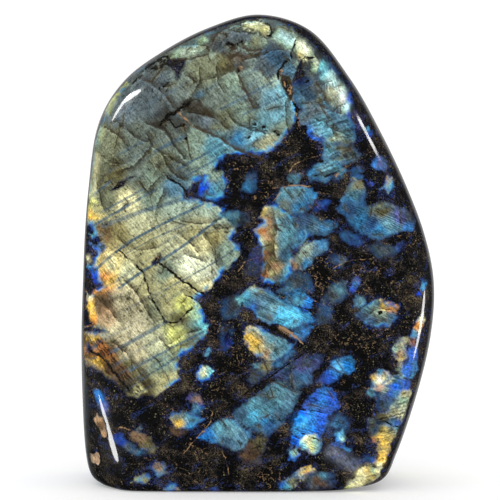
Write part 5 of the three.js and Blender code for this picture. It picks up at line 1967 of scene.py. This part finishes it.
@dataclass
class Freeform:
    """The polished stone: one fine skin with its pattern.

    Attributes:
        name: the piece's name.
        node: the plain solid it stands for.
        skin: its shape.
        sight: where its face's pattern is laid out from.
        grains: the crystals of its sides and back.
        polish: its finish.
    """

    name: str = "stone_skin"
    node: str = "stone"
    skin: Skin = field(default_factory=Skin)
    sight: Sight = Sight()
    grains: Grains = Grains()
    polish: Polish = Polish()

    def build(self) -> bpy.types.Object:
        """Make the stone and set it in the frame in place of its plain solid.

        Returns:
            The stone.
        """
        low, high = (np.array(corner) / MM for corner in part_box(self.node))
        self.skin.fit(low, high)
        canvas = self._paint(self.skin.points)
        self._shape(canvas)
        self.skin.fit(low, high)
        piece = self._mesh(canvas)
        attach(piece, "root")
        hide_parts(self.node)
        LOG.info("%s: %d points, %d faces", self.name, len(self.skin.points), len(self.skin.faces))
        return piece

    def _paint(self, points: Array) -> Canvas:
        """Lay the face's pattern, the painted grey sheen on its rim, and the crystals of the sides and
        back.

        Args:
            points: the skin's points in millimetres.

        Returns:
            The painted fields.
        """
        canvas = Canvas(points, self._fold(points))
        for patch in PATCHES:
            canvas.lay(patch)
        for ribbon in RIBBONS:
            canvas.draw(ribbon)
        for crack in CRACKS:
            canvas.scratch(crack)
        for painted_glow_mark in PAINTED_GLOWS:
            canvas.paint_glow(painted_glow_mark)
        facing = -self.skin.normals[:, 1]
        self.grains.lay(canvas, np.maximum(fade(facing, 0.28, 0.16), fade(points[:, 1], -3.0, 1.0)))
        limit, painted_rim_sheen = self._rim_limits(points)
        rim = (facing - limit) * 9 + Ripples(7.0, 31).at(points) * 0.3
        behind = (0.1 - facing) * 16 + Ripples(7.0, 32).at(points)
        levels = canvas.field
        levels["depth"] = np.minimum(levels["depth"], np.maximum(rim, behind))
        levels["fringe"] *= fade(facing, limit, limit + 0.2)
        # painted sheen: grey on the band where the skin turns away from the seat
        levels["painted_rim_sheen"] = fade(facing, painted_rim_sheen + 0.06, painted_rim_sheen - 0.06) * fade(facing, -0.2, 0.1)
        levels["crack_near"] *= fade(rim, -0.6, 0.6)
        levels["crack_shade"] *= fade(rim, -0.6, 0.6)
        # the painted glow dies out towards the rim
        canvas.painted_glow *= fade(rim, -0.4, 0.8)[:, None]
        return canvas

    @staticmethod
    def _rim_limits(points: Array) -> tuple[Array, Array]:
        """How squarely the skin must face the seat.

        Args:
            points: the skin's points in millimetres.

        Returns:
            The limit for its pattern to show, and the one below which its rim gets a painted grey sheen.
        """
        left = fade(points[:, 0], -20.0, -32.0)
        low = left * fade(points[:, 2], 38.0, 26.0)
        upper = 0.58 - 0.12 * fade(points[:, 2], 95.0, 115.0) + 0.1 * fade(points[:, 2], 124.0, 127.0)
        limit = blend(upper, 0.33 + 0.09 * fade(points[:, 2], 88.0, 78.0) + 0.2 * low, left)
        return limit - 0.3 * fade(points[:, 2], 5.0, 2.0), 0.3 + 0.22 * low

    def _fold(self, points: Array) -> Array:
        """Lay points out in the pattern, which folds back inwards behind the rim.

        Args:
            points: the skin's points in millimetres.

        Returns:
            Rows of across and up.
        """
        spots = self.sight.lay(points)
        behind = np.maximum(points[:, 1] + 2.0, 0.0)
        inwards = np.array(self.sight.middle) - spots
        inwards /= np.maximum(np.linalg.norm(inwards, axis=1), 1e-6)[:, None]
        return spots + inwards * (behind * 0.45)[:, None]

    def _shape(self, canvas: Canvas) -> None:
        """Give the skin its waviness, its hollows and its sawn foot.

        Args:
            canvas: the painted fields, which note what is rough.
        """
        points = self.skin.points
        wave = self.skin.wave * (Ripples(24.0, 11).at(points) + 1.2)
        ahead = fade(points[:, 1], -2.0, -6.0)
        depth = wave * fade(points[:, 2], 0.0, 4.0)
        for patch in HOLLOWS:
            depth = depth + canvas.hollow(patch) * ahead
        rough = canvas.field["rough"] * ahead
        canvas.field["rough"] = np.maximum(rough, fade(points[:, 2], 0.3, 0.1))
        self.skin.push(depth)

    def _mesh(self, canvas: Canvas) -> bpy.types.Object:
        """Turn the skin and its fields into a mesh.

        Args:
            canvas: the painted fields.

        Returns:
            The stone.
        """
        mesh = bpy.data.meshes.new(self.name)
        mesh.from_pydata((self.skin.points * MM).tolist(), [], self.skin.faces)
        mesh.polygons.foreach_set("use_smooth", np.ones(len(mesh.polygons), bool))
        for name, levels in canvas.field.items():
            layer = mesh.attributes.new(name, "FLOAT", "POINT")
            layer.data.foreach_set("value", levels.astype(np.float32))
        for name, shades in (("tint", canvas.tint), ("painted_glow", canvas.painted_glow)):
            layer = mesh.attributes.new(name, "FLOAT_COLOR", "POINT")
            opaque = np.column_stack([shades, np.ones(len(shades))])
            layer.data.foreach_set("color", opaque.astype(np.float32).ravel())
        mesh.materials.append(self.polish.make())
        mesh.update()
        return show(self.name, mesh)


@dataclass(frozen=True)
class Softbox:
    """A soft light with rounded ends that only shows in the polish.

    Attributes:
        start: one end of its long axis, in metres.
        end: the other end.
        breadth: how broad it is, in metres.
        radiance: how bright its face is.
        aim: the place its face looks at.
    """

    start: Place
    end: Place
    breadth: float
    radiance: float
    aim: Place = (0.0, 0.0, 0.08)

    @classmethod
    def across_sky(cls, start: Spot, end: Spot, breadth: float, radiance: float) -> "Softbox":
        """A light one metre from the stone.

        Args:
            start: where one end is: degrees to the right of the seat, and degrees up.
            end: the same for the other end.
            breadth: how broad it is, in metres.
            radiance: how bright its face is.

        Returns:
            The light.
        """
        ends = []
        for azimuth, elevation in (start, end):
            turn, rise = math.radians(azimuth), math.radians(elevation)
            level = math.cos(rise)
            ends.append((math.sin(turn) * level, -math.cos(turn) * level, cls.aim[2] + math.sin(rise)))
        return cls(*ends, breadth, radiance)

    def hang(self, name: str) -> None:
        """Put the light up.

        Args:
            name: what it is called.
        """
        start, end = Vector(self.start), Vector(self.end)
        middle = (start + end) / 2
        along = (end - start).normalized()
        back = middle - Vector(self.aim)
        back = (back - along * back.dot(along)).normalized()
        lamp = bpy.data.lights.new(name, "AREA")
        lamp.shape = "ELLIPSE"
        lamp.size = (end - start).length
        lamp.size_y = self.breadth
        lamp.energy = self.radiance * math.pi * lamp.size * self.breadth
        lit = show(name, lamp)
        lit.location = middle
        lit.rotation_euler = Matrix((along, back.cross(along), back)).transposed().to_euler()
        lit.visible_camera = False
        lit.visible_diffuse = False


@dataclass(frozen=True)
class Studio:
    """A plain pale floor, soft light and the seat in front of the stone.

    Attributes:
        floor_size: the floor's width in metres.
        floor_grey: how much of its light the floor sends back.
        floor_glow: what the floor adds to the light it gets.
        ambient: how brightly the surroundings light the stone.
        gleam: how bright they are in the stone's polish, behind the seat and behind the stone.
        lens: the camera's focal length in millimetres.
        sight: where it stands and looks.
        boxes: the lights by name.
    """

    floor_size: float = 8.0
    floor_grey: float = 0.85
    floor_glow: float = 0.25
    ambient: float = 1.05
    gleam: Spot = (0.03, 0.5)
    lens: float = 154.6
    sight: Sight = Sight()
    boxes: tuple[tuple[str, Softbox], ...] = (
        ("box_left_high", Softbox.across_sky((-74, 45.5), (-98, 39), 0.085, 13)),
        ("box_left_low", Softbox.across_sky((-95, 42), (-94, 30.5), 0.13, 9)),
        ("box_glow", Softbox.across_sky((-70, 47), (-90, 34), 0.2, 1.0)),
        ("box_right", Softbox.across_sky((79, 28.6), (91, 28.6), 0.022, 15)),
        ("bar_right", Softbox(
            (0.166, -0.014, 0.052), (0.155, -0.043, 0.004), 0.022, 10, aim=(0.0426, -0.017, 0.045)
        )),
        ("bar_left", Softbox(
            (-0.107, -0.049, 0.002), (-0.051, -0.025, 0.002), 0.015, 11, aim=(-0.079, -0.037, 1.0)
        )),
    )

    def build(self) -> None:
        """Set everything up."""
        self._floor()
        self._world()
        for name, box in self.boxes:
            box.hang(name)
        self._camera()
        bpy.context.scene.view_settings.view_transform = "Standard"

    def _floor(self) -> None:
        """Lay the floor."""
        half = self.floor_size / 2
        mesh = bpy.data.meshes.new("floor")
        corners = [(-half, -half, 0.0), (half, -half, 0.0), (half, half, 0.0), (-half, half, 0.0)]
        mesh.from_pydata(corners, [], [(0, 1, 2, 3)])
        material = bpy.data.materials.new("pale_floor")
        material.use_nodes = True
        Graph(material.node_tree).feed(material.node_tree.nodes["Principled BSDF"], {
            "Base Color": (*(self.floor_grey,) * 3, 1.0),
            "Roughness": 0.9,
            "Specular IOR Level": 0.0,
            "Emission Color": (1.0, 1.0, 1.0, 1.0),
            "Emission Strength": self.floor_glow,
        })
        mesh.materials.append(material)
        floor = show("floor", mesh)
        floor.visible_glossy = False

    def _world(self) -> None:
        """Light the stone softly from all round, with a calmer sheen in its polish."""
        world = bpy.data.worlds.new("studio")
        world.use_nodes = True
        bpy.context.scene.world = world
        graph = Graph(world.node_tree)
        course = graph.node("SeparateXYZ", {0: graph.node("TexCoord").outputs["Generated"]})
        sheen = graph.step(course.outputs["Y"], 0.62, 0.84, *self.gleam)
        shiny = graph.node("LightPath").outputs["Is Glossy Ray"]
        soft = graph.times(graph.math("SUBTRACT", 1.0, shiny), self.ambient)
        level = graph.plus(graph.times(shiny, sheen), soft)
        graph.feed(world.node_tree.nodes["Background"], {"Color": (1.0, 1.0, 1.0, 1.0), "Strength": level})

    def _camera(self) -> None:
        """Set up the camera."""
        lens = bpy.data.cameras.new("seat")
        lens.lens = self.lens
        lens.sensor_width = 36.0
        lens.clip_start = 0.01
        camera = show("seat", lens)
        rise = math.radians(self.sight.tilt)
        course = Vector((0.0, -math.cos(rise), math.sin(rise)))
        across, up = self.sight.aim
        camera.location = (Vector((across, 0.0, up)) + course * self.sight.reach) * MM
        camera.rotation_euler = (-course).to_track_quat("-Z", "Y").to_euler()
        bpy.context.scene.camera = camera


def main() -> None:
    """Build the stone and its studio, and note the sizes."""
    logging.basicConfig(level=logging.INFO, format="%(name)s: %(message)s")
    Freeform().build()
    Studio().build()
    LOG.info("studio ready")


if __name__ == "__main__":
    main()
